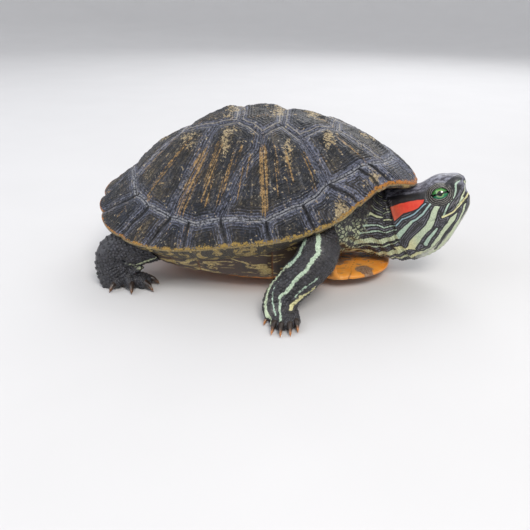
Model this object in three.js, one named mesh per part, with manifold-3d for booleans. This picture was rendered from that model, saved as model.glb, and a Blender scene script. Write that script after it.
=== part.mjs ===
// A red-eared slider turtle, standing on its four feet with its neck drawn half in, at life size.
// Millimetres. +X runs forward to the head, +Y to the turtle's left, +Z up.
// The origin lies on the floor, under the middle of the box that holds the whole animal.
import * as THREE from 'three';
import { mergeVertices } from 'three/addons/utils/BufferGeometryUtils.js';
import Module from 'manifold-3d';

const wasm = await Module();
wasm.setup();

// ---------------------------------------------------------------- driving dimensions
const SHELL_MIDDLE_TO_REAR = 80.8; // from the middle of the carapace to its rear edge
const SHELL_HALF_WIDTH = 62.3;     // at mid-length
const REAR_FLARE = 0.09;           // how much the outline widens from its middle to its rear end
const OUTLINE_POWER = 2.35;        // superellipse power of the plan outline
const DOME_HEIGHT = 44;            // above the mean rim
const NUCHAL_REACH = 4;            // how much further the front edge reaches, over the neck
const NUCHAL_DROP = 11.9;          // and how much lower it lies there
const NUCHAL_SPREAD = 0.45;        // half breadth of that stretch, in radians
const SHOULDER_ARCH = 6;           // how much the rim arches up over each foreleg
const SHOULDER_ARCH_ANGLE = 0.454; // where, round the shell from the front, in radians
const SHOULDER_ARCH_SPREAD = 0.227;
const FLOOR = -41;                 // the floor, below the mean rim of the carapace
const PLASTRON_LEVEL = -36.3;      // flat underside of the plastron, below the mean rim
const HIND_RISE = 8;               // how much the hind lobe of the plastron rises to its end
const GAP = 0.3;                   // between pieces that meet
const CARAPACE_THICKNESS = 4;
const PLASTRON_THICKNESS = 3.5;
const EYE_RADIUS = 4.9;
const RING_SEGMENTS = 40;          // round the shell
const HEAD_SEGMENTS = 18;          // round the head and neck
const LIMB_SEGMENTS = 12;          // round the limbs

const deg = THREE.MathUtils.degToRad;
const lerp = THREE.MathUtils.lerp;
const smooth = (value, from, to) => THREE.MathUtils.smoothstep(value, from, to);
const vec = (x, y, z) => new THREE.Vector3(x, y, z);

// ---------------------------------------------------------------- colours
const material = (color, roughness) => new THREE.MeshStandardMaterial({ color, roughness, metalness: 0 });
const shellHorn = material(0x4a4b50, 0.45);
const plastronHorn = material(0xd79a4c, 0.4);
const skin = material(0x33352f, 0.6);
const eyeGreen = material(0x3f8f5a, 0.1);
const clawHorn = material(0x3a2f28, 0.4);

// ---------------------------------------------------------------- solids from rings of points
// Each ring is a list of points; the first and the last entry are single points that close the body.
function ringsToGeometry(rings) {
  const corners = [];
  const starts = [];
  for (const ring of rings) {
    starts.push(corners.length / 3);
    for (const point of ring) corners.push(point.x, point.y, point.z);
  }
  const faces = [];
  const last = rings.length - 1;
  const count = rings[1].length;
  for (let k = 0; k < count; k += 1) {
    const next = (k + 1) % count;
    faces.push(starts[0], starts[1] + k, starts[1] + next);
    faces.push(starts[last], starts[last - 1] + next, starts[last - 1] + k);
    for (let row = 1; row < last - 1; row += 1) {
      const a = starts[row] + k;
      const b = starts[row] + next;
      const c = starts[row + 1] + k;
      const d = starts[row + 1] + next;
      faces.push(a, c, b, b, c, d);
    }
  }
  const geometry = new THREE.BufferGeometry();
  geometry.setAttribute('position', new THREE.Float32BufferAttribute(corners, 3));
  geometry.setIndex(faces);
  if (volumeOf(geometry) < 0) flipFaces(geometry);
  return geometry;
}

function volumeOf(geometry) {
  const position = geometry.getAttribute('position');
  const index = geometry.getIndex();
  const [a, b, c] = [vec(), vec(), vec()];
  let volume = 0;
  for (let k = 0; k < index.count; k += 3) {
    a.fromBufferAttribute(position, index.getX(k));
    b.fromBufferAttribute(position, index.getX(k + 1));
    c.fromBufferAttribute(position, index.getX(k + 2));
    volume += a.dot(b.cross(c)) / 6;
  }
  return volume;
}

function flipFaces(geometry) {
  const index = geometry.getIndex();
  for (let k = 0; k < index.count; k += 3) {
    const second = index.getX(k + 1);
    index.setX(k + 1, index.getX(k + 2));
    index.setX(k + 2, second);
  }
}

function toSolid(geometry) {
  const bare = geometry.clone();
  bare.deleteAttribute('normal');
  bare.deleteAttribute('uv');
  const merged = mergeVertices(bare, 1e-5);
  return new wasm.Manifold(new wasm.Mesh({
    numProp: 3,
    vertProperties: Float32Array.from(merged.getAttribute('position').array),
    triVerts: Uint32Array.from(merged.getIndex().array),
  }));
}

function toGeometry(solid) {
  const mesh = solid.getMesh();
  const geometry = new THREE.BufferGeometry();
  geometry.setAttribute('position', new THREE.BufferAttribute(Float32Array.from(mesh.vertProperties), 3));
  geometry.setIndex(new THREE.BufferAttribute(Uint32Array.from(mesh.triVerts), 1));
  return geometry;
}

function mirrored(solid) {
  const geometry = toGeometry(solid);
  geometry.applyMatrix4(new THREE.Matrix4().makeScale(1, -1, 1));
  flipFaces(geometry);
  return toSolid(geometry);
}

// ---------------------------------------------------------------- outline and dome of the shell
// Angles run round the shell from the front; height terms are amplitudes of cos(k * angle).
const RIM_HEIGHT_TERMS = [-1.7, 10.3, 10.7, -0.4, 3.0];
const OUTLINE_CORNER_TERM = -0.009;
const OUTLINE_FIVE_LOBE_TERM = 0.03;
const DOME_POWER_SIDE = 0.87;
const DOME_POWER_FRONT = 0.91;
const DOME_POWER_REAR = 1.24;

// The turn from the front, from 0 to half a circle on either side.
const turnFromFront = (angle) => Math.abs(THREE.MathUtils.euclideanModulo(angle + Math.PI, 2 * Math.PI) - Math.PI);
const bump = (value, middle, spread) => Math.exp(-(((value - middle) / spread) ** 2));
const nuchalShare = (angle) => bump(turnFromFront(angle), 0, NUCHAL_SPREAD);
const archShare = (angle) => bump(turnFromFront(angle), SHOULDER_ARCH_ANGLE, SHOULDER_ARCH_SPREAD);

function outlineRadius(angle) {
  const c = Math.abs(Math.cos(angle));
  const s = Math.abs(Math.sin(angle));
  let radius = SHELL_MIDDLE_TO_REAR * 0.8;
  for (let pass = 0; pass < 12; pass += 1) {
    const x = radius * Math.cos(angle);
    const halfWidth = SHELL_HALF_WIDTH * (1 - REAR_FLARE * x / SHELL_MIDDLE_TO_REAR);
    radius = ((c / SHELL_MIDDLE_TO_REAR) ** OUTLINE_POWER + (s / halfWidth) ** OUTLINE_POWER) ** (-1 / OUTLINE_POWER);
  }
  const corner = OUTLINE_CORNER_TERM * (Math.cos(4 * angle) - 1) / 2;
  const fiveLobe = OUTLINE_FIVE_LOBE_TERM * (Math.cos(5 * angle) - Math.cos(angle));
  return radius * (1 + corner + fiveLobe) + NUCHAL_REACH * nuchalShare(angle);
}

function rimHeight(angle) {
  const level = RIM_HEIGHT_TERMS.reduce((sum, term, k) => sum + term * Math.cos(k * angle), 0);
  return level + SHOULDER_ARCH * archShare(angle) - NUCHAL_DROP * nuchalShare(angle);
}

function domeHeight(angle, fraction, height = DOME_HEIGHT) {
  const along = Math.cos(angle) ** 2;
  const endPower = Math.cos(angle) > 0 ? DOME_POWER_FRONT : DOME_POWER_REAR;
  const power = lerp(DOME_POWER_SIDE, endPower, along);
  return height * (1 - fraction ** 2) ** power + rimHeight(angle) * fraction ** 2;
}

// ---------------------------------------------------------------- profiles of the shell, as [radius, height]
const RIM_EDGE = 1.3;              // rounding of the rim
const FLANGE_WIDTH = 10;           // underside of the marginal plates
const INNER_WALL = 4.5;

function flangeEnd(angle) {
  const side = Math.sin(angle) ** 2;
  return [outlineRadius(angle) - FLANGE_WIDTH, rimHeight(angle) - lerp(1.5, 10, side)];
}

const OUTER_STEPS = [0.2, 0.4, 0.58, 0.73, 0.85, 0.93, 0.975];
const INNER_STEPS = [0.86, 0.7, 0.5, 0.25];

function carapaceProfile(angle) {
  const radius = outlineRadius(angle);
  const rim = rimHeight(angle);
  const profile = [[0, domeHeight(angle, 0)]];
  for (const step of OUTER_STEPS) profile.push([radius * step, domeHeight(angle, step)]);
  profile.push([radius, rim]);
  profile.push([radius - RIM_EDGE * 0.5, rim - RIM_EDGE * 1.5]);
  const [flangeRadius, flangeLevel] = flangeEnd(angle);
  profile.push([flangeRadius, flangeLevel]);
  profile.push([flangeRadius - 2, flangeLevel + 4]);
  for (const step of INNER_STEPS) profile.push(innerDome(angle, step));
  profile.push([0, DOME_HEIGHT - CARAPACE_THICKNESS]);
  return profile;
}

function innerDome(angle, step, inset = 0) {
  const radius = outlineRadius(angle) - INNER_WALL - inset;
  return [radius * step, domeHeight(angle, step, DOME_HEIGHT - CARAPACE_THICKNESS - inset)];
}

// The plastron is a flat plate with a fore and a hind lobe; between them a bridge rises on each side.
const FORE_LOBE = 74;
const HIND_LOBE = 64;
const LOBE_HALF_WIDTH = 40;
const LOBE_POWER = 2.9;
const BRIDGE_FRONT = deg(44);
const BRIDGE_REAR = deg(133);
const BRIDGE_BLEND = deg(8);

function lobeRadius(angle) {
  const reach = Math.cos(angle) > 0 ? FORE_LOBE : HIND_LOBE;
  const c = Math.abs(Math.cos(angle)) / reach;
  const s = Math.abs(Math.sin(angle)) / LOBE_HALF_WIDTH;
  return (c ** LOBE_POWER + s ** LOBE_POWER) ** (-1 / LOBE_POWER);
}

function bridgeShare(angle) {
  const turn = turnFromFront(angle);
  const opening = smooth(turn, BRIDGE_FRONT - BRIDGE_BLEND, BRIDGE_FRONT);
  return opening * (1 - smooth(turn, BRIDGE_REAR, BRIDGE_REAR + BRIDGE_BLEND));
}

const mixPoint = (a, b, share) => [lerp(a[0], b[0], share), lerp(a[1], b[1], share)];

// The underside rises towards the end of the hind lobe.
const hindLift = (angle, radius) => HIND_RISE * Math.max(0, (-radius * Math.cos(angle)) / HIND_LOBE) ** 1.1;

function plastronProfile(angle) {
  const share = bridgeShare(angle);
  const lobe = lobeRadius(angle);
  const [flangeRadius, flangeLevel] = flangeEnd(angle);
  const flat = Math.min(lobe, flangeRadius - 9);
  const bottom = (radius) => PLASTRON_LEVEL + hindLift(angle, radius);
  const top = (radius) => bottom(radius) + PLASTRON_THICKNESS;
  const rise = flangeLevel - bottom(flat);
  const meet = [flangeRadius - 0.45, flangeLevel - 0.2];
  const meetInner = [meet[0] - 2, meet[1] + 3.5];
  return [
    [0, bottom(0)],
    [flat * 0.55, bottom(flat * 0.55)],
    mixPoint([lobe * 0.93, bottom(lobe * 0.93)], [flat * 0.97, bottom(flat)], share),
    mixPoint([lobe, bottom(lobe) + 1], [lerp(flat, meet[0], 0.55), bottom(flat) + rise * 0.28], share),
    mixPoint([lobe, top(lobe) - 1], meet, share),
    mixPoint([lobe * 0.98, top(lobe) - 0.4], meetInner, share),
    mixPoint([lobe * 0.95, top(lobe)], [lerp(flat, meet[0], 0.5) - 3, bottom(flat) + rise * 0.28 + 3], share),
    [flat * 0.85, top(flat * 0.85)],
    [flat * 0.5, top(flat * 0.5)],
    [0, top(0)],
  ];
}

// The trunk fills the space between the two shells and shows only at their front and rear openings.
const TRUNK_FRONT = 66;
const TRUNK_REAR = 66;
const TRUNK_HALF_WIDTH = 48;
const TRUNK_POWER = 2.4;
const TRUNK_CLEAR = 0.7;

function trunkProfile(angle) {
  const share = bridgeShare(angle);
  const reach = Math.cos(angle) > 0 ? TRUNK_FRONT : TRUNK_REAR;
  const c = Math.abs(Math.cos(angle)) / reach;
  const s = Math.abs(Math.sin(angle)) / TRUNK_HALF_WIDTH;
  const open = (c ** TRUNK_POWER + s ** TRUNK_POWER) ** (-1 / TRUNK_POWER);
  const lift = (radius) => hindLift(angle, radius);
  const top = PLASTRON_LEVEL + PLASTRON_THICKNESS + TRUNK_CLEAR;
  const upper = innerDome(angle, 0.8, TRUNK_CLEAR);
  const flange = flangeEnd(angle);
  const wide = Math.min(open, flange[0] - 4);
  return [
    [0, DOME_HEIGHT - CARAPACE_THICKNESS - TRUNK_CLEAR],
    innerDome(angle, 0.25, TRUNK_CLEAR),
    innerDome(angle, 0.5, TRUNK_CLEAR),
    innerDome(angle, 0.68, TRUNK_CLEAR),
    [Math.min(upper[0], wide), Math.min(upper[1], domeHeight(angle, 0.8) - 6)],
    [wide, lerp(2, -4, share)],
    [wide * 0.995, -13],
    [wide * 0.93, -22 + lift(wide) * 0.5],
    [wide * 0.8, -27.5 + lift(wide * 0.8)],
    [wide * 0.6, top + 0.8 + lift(wide * 0.6)],
    [0, top],
  ];
}

// A ring solid turns a profile round the shell's middle; grow moves the profile outwards.
function grown(profile, grow) {
  if (grow === 0) return profile;
  const count = profile.length;
  return profile.map((point, k) => {
    if (k === 0 || k === count - 1) {
      const neighbour = k === 0 ? profile[count - 1] : profile[0];
      return [0, point[1] + grow * Math.sign(point[1] - neighbour[1])];
    }
    const [before, after] = [profile[k - 1], profile[k + 1]];
    const along = new THREE.Vector2(after[0] - before[0], after[1] - before[1]).normalize();
    const turn = profile[0][1] > profile[count - 1][1] ? 1 : -1;
    return [point[0] - turn * along.y * grow, point[1] + turn * along.x * grow];
  });
}

function ringSolid(profileAt, grow = 0) {
  const columns = [];
  for (let k = 0; k < RING_SEGMENTS; k += 1) {
    const angle = (k / RING_SEGMENTS) * 2 * Math.PI;
    columns.push({ angle, profile: grown(profileAt(angle), grow) });
  }
  const rows = columns[0].profile.length;
  const rings = [];
  for (let row = 0; row < rows; row += 1) {
    const single = row === 0 || row === rows - 1;
    const ring = (single ? [columns[0]] : columns).map(({ angle, profile }) => {
      const [radius, height] = profile[row];
      return vec(radius * Math.cos(angle), radius * Math.sin(angle), height);
    });
    rings.push(ring);
  }
  return toSolid(ringsToGeometry(rings));
}

// ---------------------------------------------------------------- lofts along a body part
// A section has a centre, two directions across it, half width, reach above and below, a power,
// and a taper that narrows its underside.
function sectionRing(section, segments) {
  const { centre, side, up, width, above, below, power = 2.3, taper = 0 } = section;
  const points = [];
  for (let k = 0; k < segments; k += 1) {
    const turn = (k / segments) * 2 * Math.PI;
    const c = Math.cos(turn);
    const s = Math.sin(turn);
    const size = (Math.abs(c) ** power + Math.abs(s) ** power) ** (-1 / power);
    const high = s > 0 ? above : below;
    const across = width * c * size * (1 - taper * Math.max(0, -s * size));
    points.push(centre.clone().addScaledVector(side, across).addScaledVector(up, high * s * size));
  }
  return points;
}

function loft(sections, segments = LIMB_SEGMENTS, tip = 0.35) {
  const rings = sections.map((section) => sectionRing(section, segments));
  const endPoint = (section, neighbour) => {
    const outward = section.centre.clone().sub(neighbour.centre).normalize();
    return section.centre.clone().addScaledVector(outward, Math.min(section.above, section.below) * tip);
  };
  const first = endPoint(sections[0], sections[1]);
  const final = endPoint(sections.at(-1), sections.at(-2));
  return toSolid(ringsToGeometry([[first], ...rings, [final]]));
}

// Sections along a smooth line: stations are [x, y, z, width, height] and `upHint` keeps them level.
function limbSections(stations, upHint, count = stations.length * 2) {
  const line = new THREE.CatmullRomCurve3(stations.map(([x, y, z]) => vec(x, y, z)), false, 'centripetal');
  const last = stations.length - 1;
  const sections = [];
  for (let k = 0; k <= count; k += 1) {
    const t = k / count;
    const place = Math.min(t * last, last - 1e-6);
    const from = Math.floor(place);
    const share = smooth(place - from, 0, 1);
    const tangent = line.getTangent(t);
    const side = vec().crossVectors(tangent, upHint).normalize();
    const up = vec().crossVectors(side, tangent).normalize();
    const height = lerp(stations[from][4], stations[from + 1][4], share);
    sections.push({
      centre: line.getPoint(t), side, up, above: height, below: height,
      width: lerp(stations[from][3], stations[from + 1][3], share),
    });
  }
  return sections;
}

const cutPlane = (solid, normal, point) => solid.trimByPlane(normal.toArray(), normal.dot(point));

// The two parts of a solid on either side of a plane, with the gap between them.
function parted(solid, normal, point) {
  const unit = normal.clone().normalize();
  const half = unit.clone().multiplyScalar(GAP / 2);
  const beyond = cutPlane(solid, unit, point.clone().add(half));
  const before = cutPlane(solid, unit.clone().negate(), point.clone().sub(half));
  return [before, beyond];
}

const onFloor = (solid) => cutPlane(solid, vec(0, 0, 1), vec(0, 0, FLOOR));

// ---------------------------------------------------------------- head and neck
const HEAD_BASE = vec(74.8, -5.3, -13.1);    // behind the skull, at the level of the tip of the mouth
const HEAD_YAW = deg(-14);
const HEAD_PITCH = deg(29);
const headTurn = new THREE.Matrix4().makeRotationZ(HEAD_YAW)
  .multiply(new THREE.Matrix4().makeRotationY(-HEAD_PITCH));
const headPoint = (x, y, z) => vec(x, y, z).applyMatrix4(headTurn).add(HEAD_BASE);
const headDirection = (x, y, z) => vec(x, y, z).transformDirection(headTurn);

// Stations along the head: [distance from its base, half width, above, below, power, taper]
const HEAD_STATIONS = [
  [-3, 14.6, 21.5, 20.5, 2.2, 0.12],
  [3, 14.3, 20.5, 22.4, 2.2, 0.2],
  [9, 14.0, 19.0, 22.8, 2.3, 0.25],
  [15, 13.6, 16.4, 22, 2.4, 0.28],
  [20, 12.9, 14.7, 20.4, 2.4, 0.28],
  [24.5, 12.0, 15.4, 17.6, 2.4, 0.25],
  [28.5, 11.0, 16.2, 14.4, 2.4, 0.2],
  [32.5, 9.4, 15.8, 11.2, 2.3, 0.15],
  [36, 7.4, 14.3, 8.4, 2.2, 0.1],
  [38.8, 5.2, 12.2, 5.8, 2.2, 0.05],
  [40.4, 3.2, 9.8, 3.6, 2.0, 0],
];
// Stations along the neck: [x, y, z, half width, above, below, yaw, pitch]
const NECK_STATIONS = [
  [46, -1, -11.5, 19, 21, 17, 0, 0],
  [55, -1.5, -12, 17.8, 21, 18.5, -3, 5],
  [63, -2.8, -13, 16, 20.5, 19, -8, 14],
];
const EYE_PLACE = [29.4, 6.2, 7.0];

function headAndNeck() {
  const neck = NECK_STATIONS.map(([x, y, z, width, above, below, yaw, pitch]) => {
    const turn = new THREE.Matrix4().makeRotationZ(deg(yaw))
      .multiply(new THREE.Matrix4().makeRotationY(-deg(pitch)));
    return {
      centre: vec(x, y, z), width, above, below,
      side: vec(0, 1, 0).transformDirection(turn),
      up: vec(0, 0, 1).transformDirection(turn),
    };
  });
  const head = HEAD_STATIONS.map(([along, width, above, below, power, taper]) => ({
    centre: headPoint(along, 0, 0), width, above, below, power, taper,
    side: headDirection(0, 1, 0), up: headDirection(0, 0, 1),
  }));
  return loft([...neck, ...head], HEAD_SEGMENTS, 0.25);
}

// The mouth line, as [distance from the base of the head, height], from the snout to behind the corner.
const MOUTH_LINE = [[46, -0.2], [38, -0.5], [33, -1.2], [28, -2.2], [24, -3.1], [21, -3.6]];
const JAW_BACK = [[19, -26], [46, -26]];

function jawCutter(shift) {
  const shape = new THREE.Shape();
  const outline = [
    ...MOUTH_LINE.map(([x, z]) => [x, z - shift]),
    [JAW_BACK[0][0] + shift, JAW_BACK[0][1]],
    JAW_BACK[1],
  ];
  shape.setFromPoints(outline.map(([x, z]) => new THREE.Vector2(x, z)));
  const slab = new THREE.ExtrudeGeometry(shape, { depth: 40, bevelEnabled: false, steps: 1 });
  slab.translate(0, 0, -20);
  slab.applyMatrix4(new THREE.Matrix4().makeRotationX(Math.PI / 2));
  slab.applyMatrix4(headTurn);
  slab.translate(HEAD_BASE.x, HEAD_BASE.y, HEAD_BASE.z);
  return toSolid(slab);
}

function eyeball(side, radius) {
  const ball = new THREE.SphereGeometry(radius, 12, 8);
  const place = headPoint(EYE_PLACE[0], side * EYE_PLACE[1], EYE_PLACE[2]);
  ball.translate(place.x, place.y, place.z);
  return toSolid(ball);
}

// ---------------------------------------------------------------- limbs, as on the right side
const FORELEG = [
  [26, -28, -12, 9, 10],
  [36, -42, -12.5, 10.5, 10.5],
  [37.5, -51, -16, 10, 10],
  [31.5, -58, -23, 8.8, 9],
  [25, -63.5, -29.5, 8.2, 7.6],
  [22, -68, -34.2, 8.2, 6],
  [22.6, -73, -37, 8.0, 4.6],
  [23.6, -76, -38.6, 7.6, 3.2],
];
const WRIST = { point: vec(25.4, -65.8, -32), normal: vec(-0.35, -0.62, -0.7) };
// Digits run from a root to a tip, with a half thickness at the root, and a claw ends at its own point.
const FORE_DIGITS = [
  { root: [28.5, -71, -37.5], tip: [31.2, -79, -39.2], radius: 2.7, claw: [32.3, -83.6, -40.6] },
  { root: [26.5, -73, -37.5], tip: [28.4, -82, -39.2], radius: 2.8, claw: [29.4, -87.6, -40.6] },
  { root: [24.2, -73, -37.5], tip: [24.6, -83, -39.2], radius: 2.8, claw: [25, -89, -40.6] },
  { root: [22, -73, -37.5], tip: [21.2, -82, -39.2], radius: 2.8, claw: [20.8, -88, -40.6] },
  { root: [20, -70, -37.5], tip: [17.6, -75.5, -38.8], radius: 2.6, claw: [16.2, -80, -40.4] },
];
const HINDLEG = [
  [-36, -30, -16, 10, 10],
  [-46, -37, -19, 10.5, 11],
  [-57, -43, -21.5, 10.5, 11],
  [-65.5, -46, -26, 10.5, 10],
  [-64, -48.5, -32.5, 11.6, 6.6],
  [-60, -50.5, -37.4, 12.2, 3.8],
];
const ANKLE = { point: vec(-65.5, -47.5, -29.6), normal: vec(0.1, -0.35, -0.93) };
const HIND_DIGITS = [
  { root: [-54, -47, -37], tip: [-48.2, -45.6, -38.6], radius: 3.0, claw: [-43.6, -45.8, -40.4] },
  { root: [-56, -49, -37], tip: [-48.6, -51.8, -38.8], radius: 3.2, claw: [-43.8, -55, -40.6] },
  { root: [-59, -50, -37], tip: [-55.2, -54.8, -38.8], radius: 3.3, claw: [-53.6, -60, -40.6] },
  { root: [-63, -50, -37], tip: [-64.2, -54.8, -38.8], radius: 3.3, claw: [-65.2, -60, -40.6] },
  { root: [-65.5, -48.5, -36], tip: [-70.6, -51.6, -38.4], radius: 3.1 },
];
const TAIL = [
  [-54, 2, -14, 8, 8],
  [-64, 3, -15, 7, 7],
  [-72, 6.5, -18, 5.4, 5.4],
  [-77, 12.5, -22, 3.8, 3.8],
  [-78, 20, -25, 2.4, 2.4],
  [-76, 26, -26.5, 1.2, 1.2],
];

function digit({ root, tip, radius }) {
  const from = vec(...root);
  const to = vec(...tip);
  const stations = [0, 0.5, 1].map((t) => {
    const place = from.clone().lerp(to, t);
    const size = radius * (1 - 0.28 * t * t);
    return [place.x, place.y, place.z + Math.sin(Math.PI * t) * radius * 0.25, size, size];
  });
  return loft(limbSections(stations, vec(0, 0, 1), 2), 7, 0.5);
}

// A curved claw that springs from the tip of its digit and bends down to the floor.
function claw({ tip, claw: point, radius }, foot) {
  const from = vec(...tip);
  const to = vec(...point);
  const size = radius * 0.5;
  const stations = [[-0.25, 1], [0.25, 0.95], [0.7, 0.5], [1, 0.12]].map(([t, share]) => {
    const place = from.clone().lerp(to, t);
    const arch = Math.sin(Math.PI * Math.max(t, 0)) * radius * 0.32;
    return [place.x, place.y, place.z + arch, size * share, size * share * 1.15];
  });
  const outward = to.sub(from).normalize().multiplyScalar(GAP);
  const horn = loft(limbSections(stations, vec(0, 0, 1), 3), 5, 0.2).subtract(foot);
  return onFloor(horn.translate(outward.toArray()));
}

// A thin web between two neighbouring digits, from the palm out to a share of their length.
function web(first, second, reach, thickness) {
  const corner = (finger, t) => vec(...finger.root).lerp(vec(...finger.tip), t);
  const between = corner(first, reach * 0.8).lerp(corner(second, reach * 0.8), 0.5);
  const outline = [corner(first, -0.2), corner(first, reach), between, corner(second, reach), corner(second, -0.2)];
  const raise = vec(0, 0, thickness / 2);
  const points = [...outline.map((p) => p.clone().add(raise)), ...outline.map((p) => p.clone().sub(raise))];
  const count = outline.length;
  const faces = [];
  for (let k = 1; k < count - 1; k += 1) {
    faces.push(0, k, k + 1, count, count + k + 1, count + k);
  }
  for (let k = 0; k < count; k += 1) {
    const next = (k + 1) % count;
    faces.push(k, count + k, next, next, count + k, count + next);
  }
  const geometry = new THREE.BufferGeometry();
  geometry.setAttribute('position', new THREE.Float32BufferAttribute(points.flatMap((p) => p.toArray()), 3));
  geometry.setIndex(faces);
  if (volumeOf(geometry) < 0) flipFaces(geometry);
  return toSolid(geometry);
}

function limb(stations, upHint, digits, parting, webReach, webThickness) {
  let whole = loft(limbSections(stations, upHint, stations.length + 2), LIMB_SEGMENTS, 0.5);
  for (const finger of digits) whole = whole.add(digit(finger));
  for (let k = 0; k + 1 < digits.length; k += 1) {
    whole = whole.add(web(digits[k], digits[k + 1], webReach, webThickness));
  }
  const [leg, foot] = parted(onFloor(whole), parting.normal, parting.point);
  return { leg, foot };
}

// ---------------------------------------------------------------- the animal
const turtle = new THREE.Group();

// A cut can leave a crumb beside the part itself, so the largest piece is the one that is placed.
function place(name, solid, look) {
  const largest = solid.decompose().reduce((a, b) => (a.volume() > b.volume() ? a : b));
  const mesh = new THREE.Mesh(toGeometry(largest), look);
  mesh.name = name;
  turtle.add(mesh);
}

const carapace = ringSolid(carapaceProfile);
const plastron = ringSolid(plastronProfile);
const shells = ringSolid(carapaceProfile, GAP).add(plastron).add(ringSolid(plastronProfile, 2 * GAP));
const trunk = ringSolid(trunkProfile).subtract(shells);
const keepOut = ringSolid(trunkProfile, GAP).add(shells);

place('carapace', carapace, shellHorn);
place('plastron', plastron, plastronHorn);
place('trunk', trunk, skin);

const [neck, headWhole] = parted(headAndNeck(), headDirection(1, 0, 0), headPoint(0, 0, 0));
place('neck', neck.subtract(keepOut), skin);
const headSkin = headWhole.subtract(keepOut)
  .subtract(eyeball(1, EYE_RADIUS + GAP))
  .subtract(eyeball(-1, EYE_RADIUS + GAP));
place('head', headSkin.subtract(jawCutter(0)), skin);
place('lower_jaw', headSkin.intersect(jawCutter(GAP)), skin);
place('eye_right', eyeball(-1, EYE_RADIUS), eyeGreen);
place('eye_left', eyeball(1, EYE_RADIUS), eyeGreen);

const fore = limb(FORELEG, vec(0.3, -0.35, 0.9), FORE_DIGITS, WRIST, 0.55, 1.6);
const hind = limb(HINDLEG, vec(0, -0.9, 0.4), HIND_DIGITS, ANKLE, 0.8, 1.6);
const limbsOf = { fore: [FORE_DIGITS, fore], hind: [HIND_DIGITS, hind] };
const sides = { right: (solid) => solid, left: mirrored };
for (const [side, turned] of Object.entries(sides)) {
  for (const [limbName, [digits, { leg, foot }]] of Object.entries(limbsOf)) {
    place(`${limbName}leg_${side}`, turned(leg).subtract(keepOut), skin);
    place(`${limbName}foot_${side}`, turned(foot).subtract(keepOut), skin);
    digits.filter((finger) => finger.claw).forEach((finger, k) => {
      place(`claw_${limbName}_${side}_${k + 1}`, turned(claw(finger, foot)), clawHorn);
    });
  }
}

place('tail', loft(limbSections(TAIL, vec(0, 0, 1), 9), 12, 0.5).subtract(keepOut), skin);

// ---------------------------------------------------------------- onto the floor, over the origin
const box = new THREE.Box3().setFromObject(turtle);
turtle.position.set(-(box.min.x + box.max.x) / 2, -(box.min.y + box.max.y) / 2, -FLOOR);

export default turtle;
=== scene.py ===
"""Looks of a life-size red-eared slider turtle: horn shell, scaly striped skin, eyes and claws.

Everything is modelled in the millimetre frame of the solids: x forward, y to the turtle's left, z up,
with the origin at the middle of the carapace at the mean height of its rim. `to_row` moves it to the row.
"""
import math

import bpy
import numpy as np
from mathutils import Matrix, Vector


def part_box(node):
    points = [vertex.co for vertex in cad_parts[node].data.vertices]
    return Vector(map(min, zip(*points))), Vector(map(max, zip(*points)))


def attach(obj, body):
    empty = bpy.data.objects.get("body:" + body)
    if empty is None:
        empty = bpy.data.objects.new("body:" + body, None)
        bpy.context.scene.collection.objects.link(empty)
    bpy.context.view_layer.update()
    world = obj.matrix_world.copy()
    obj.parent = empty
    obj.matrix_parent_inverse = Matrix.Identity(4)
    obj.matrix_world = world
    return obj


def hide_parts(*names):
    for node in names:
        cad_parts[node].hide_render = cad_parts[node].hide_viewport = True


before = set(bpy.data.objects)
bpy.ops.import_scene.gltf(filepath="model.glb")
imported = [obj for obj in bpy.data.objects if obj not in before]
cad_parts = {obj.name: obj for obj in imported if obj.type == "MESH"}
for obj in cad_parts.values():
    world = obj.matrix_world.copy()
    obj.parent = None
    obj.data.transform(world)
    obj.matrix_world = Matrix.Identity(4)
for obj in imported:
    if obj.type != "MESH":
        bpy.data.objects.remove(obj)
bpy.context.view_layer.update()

import openvdb
from mathutils import Matrix, Vector
from mathutils.bvhtree import BVHTree
from mathutils.kdtree import KDTree

MM = 0.001
FLOOR = -41.0
HIND_LOBE = 64.0
SHIFT = np.array([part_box("plastron")[0].x / MM + HIND_LOBE, 0.0, -FLOOR])


def to_row(points):
    """Millimetres of the modelling frame to metres of the row frame."""
    return (np.asarray(points, float) + SHIFT) * MM


# ------------------------------------------------------------------ small numeric helpers
def lerp(a, b, share):
    return a + (b - a) * share


def smooth(value, start, end):
    share = np.clip((value - start) / (end - start), 0, 1)
    return share * share * (3 - 2 * share)


def bump(value, middle, spread):
    return np.exp(-(((value - middle) / spread) ** 2))


def unit(vectors):
    vectors = np.asarray(vectors, float)
    return vectors / np.maximum(np.linalg.norm(vectors, axis=-1, keepdims=True), 1e-9)


HASH_FACTORS = (374761393, 668265263, 2246822519, 3266489917)
HASH_MIXER = 1274126177
LOW_32_BITS = 0xFFFFFFFF
LOW_16_BITS = 0xFFFF


def scattered(*whole_numbers):
    """A repeatable value from 0 to 1 for each set of whole numbers."""
    mixed = np.zeros(np.shape(whole_numbers[0]), np.uint64)
    for factor, number in zip(HASH_FACTORS, whole_numbers):
        mixed = mixed + np.asarray(number).astype(np.int64).astype(np.uint64) * np.uint64(factor)
    mixed = (mixed ^ (mixed >> np.uint64(13))) * np.uint64(HASH_MIXER)
    mixed = mixed & np.uint64(LOW_32_BITS)
    return ((mixed ^ (mixed >> np.uint64(16))) & np.uint64(LOW_16_BITS)).astype(float) / LOW_16_BITS


def noise(points, size, seed=0):
    """Smooth noise from -1 to 1 whose blobs are about `size` millimetres wide."""
    place = np.asarray(points, float) / size
    cell = np.floor(place)
    part = place - cell
    part = part * part * (3 - 2 * part)
    total = np.zeros(len(place))
    for corner in range(8):
        offset = np.array([corner & 1, (corner >> 1) & 1, (corner >> 2) & 1])
        weight = np.prod(np.where(offset == 1, part, 1 - part), axis=1)
        x, y, z = (cell + offset).T
        total += weight * scattered(x, y, z, np.full(len(x), seed))
    return total * 2 - 1


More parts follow.
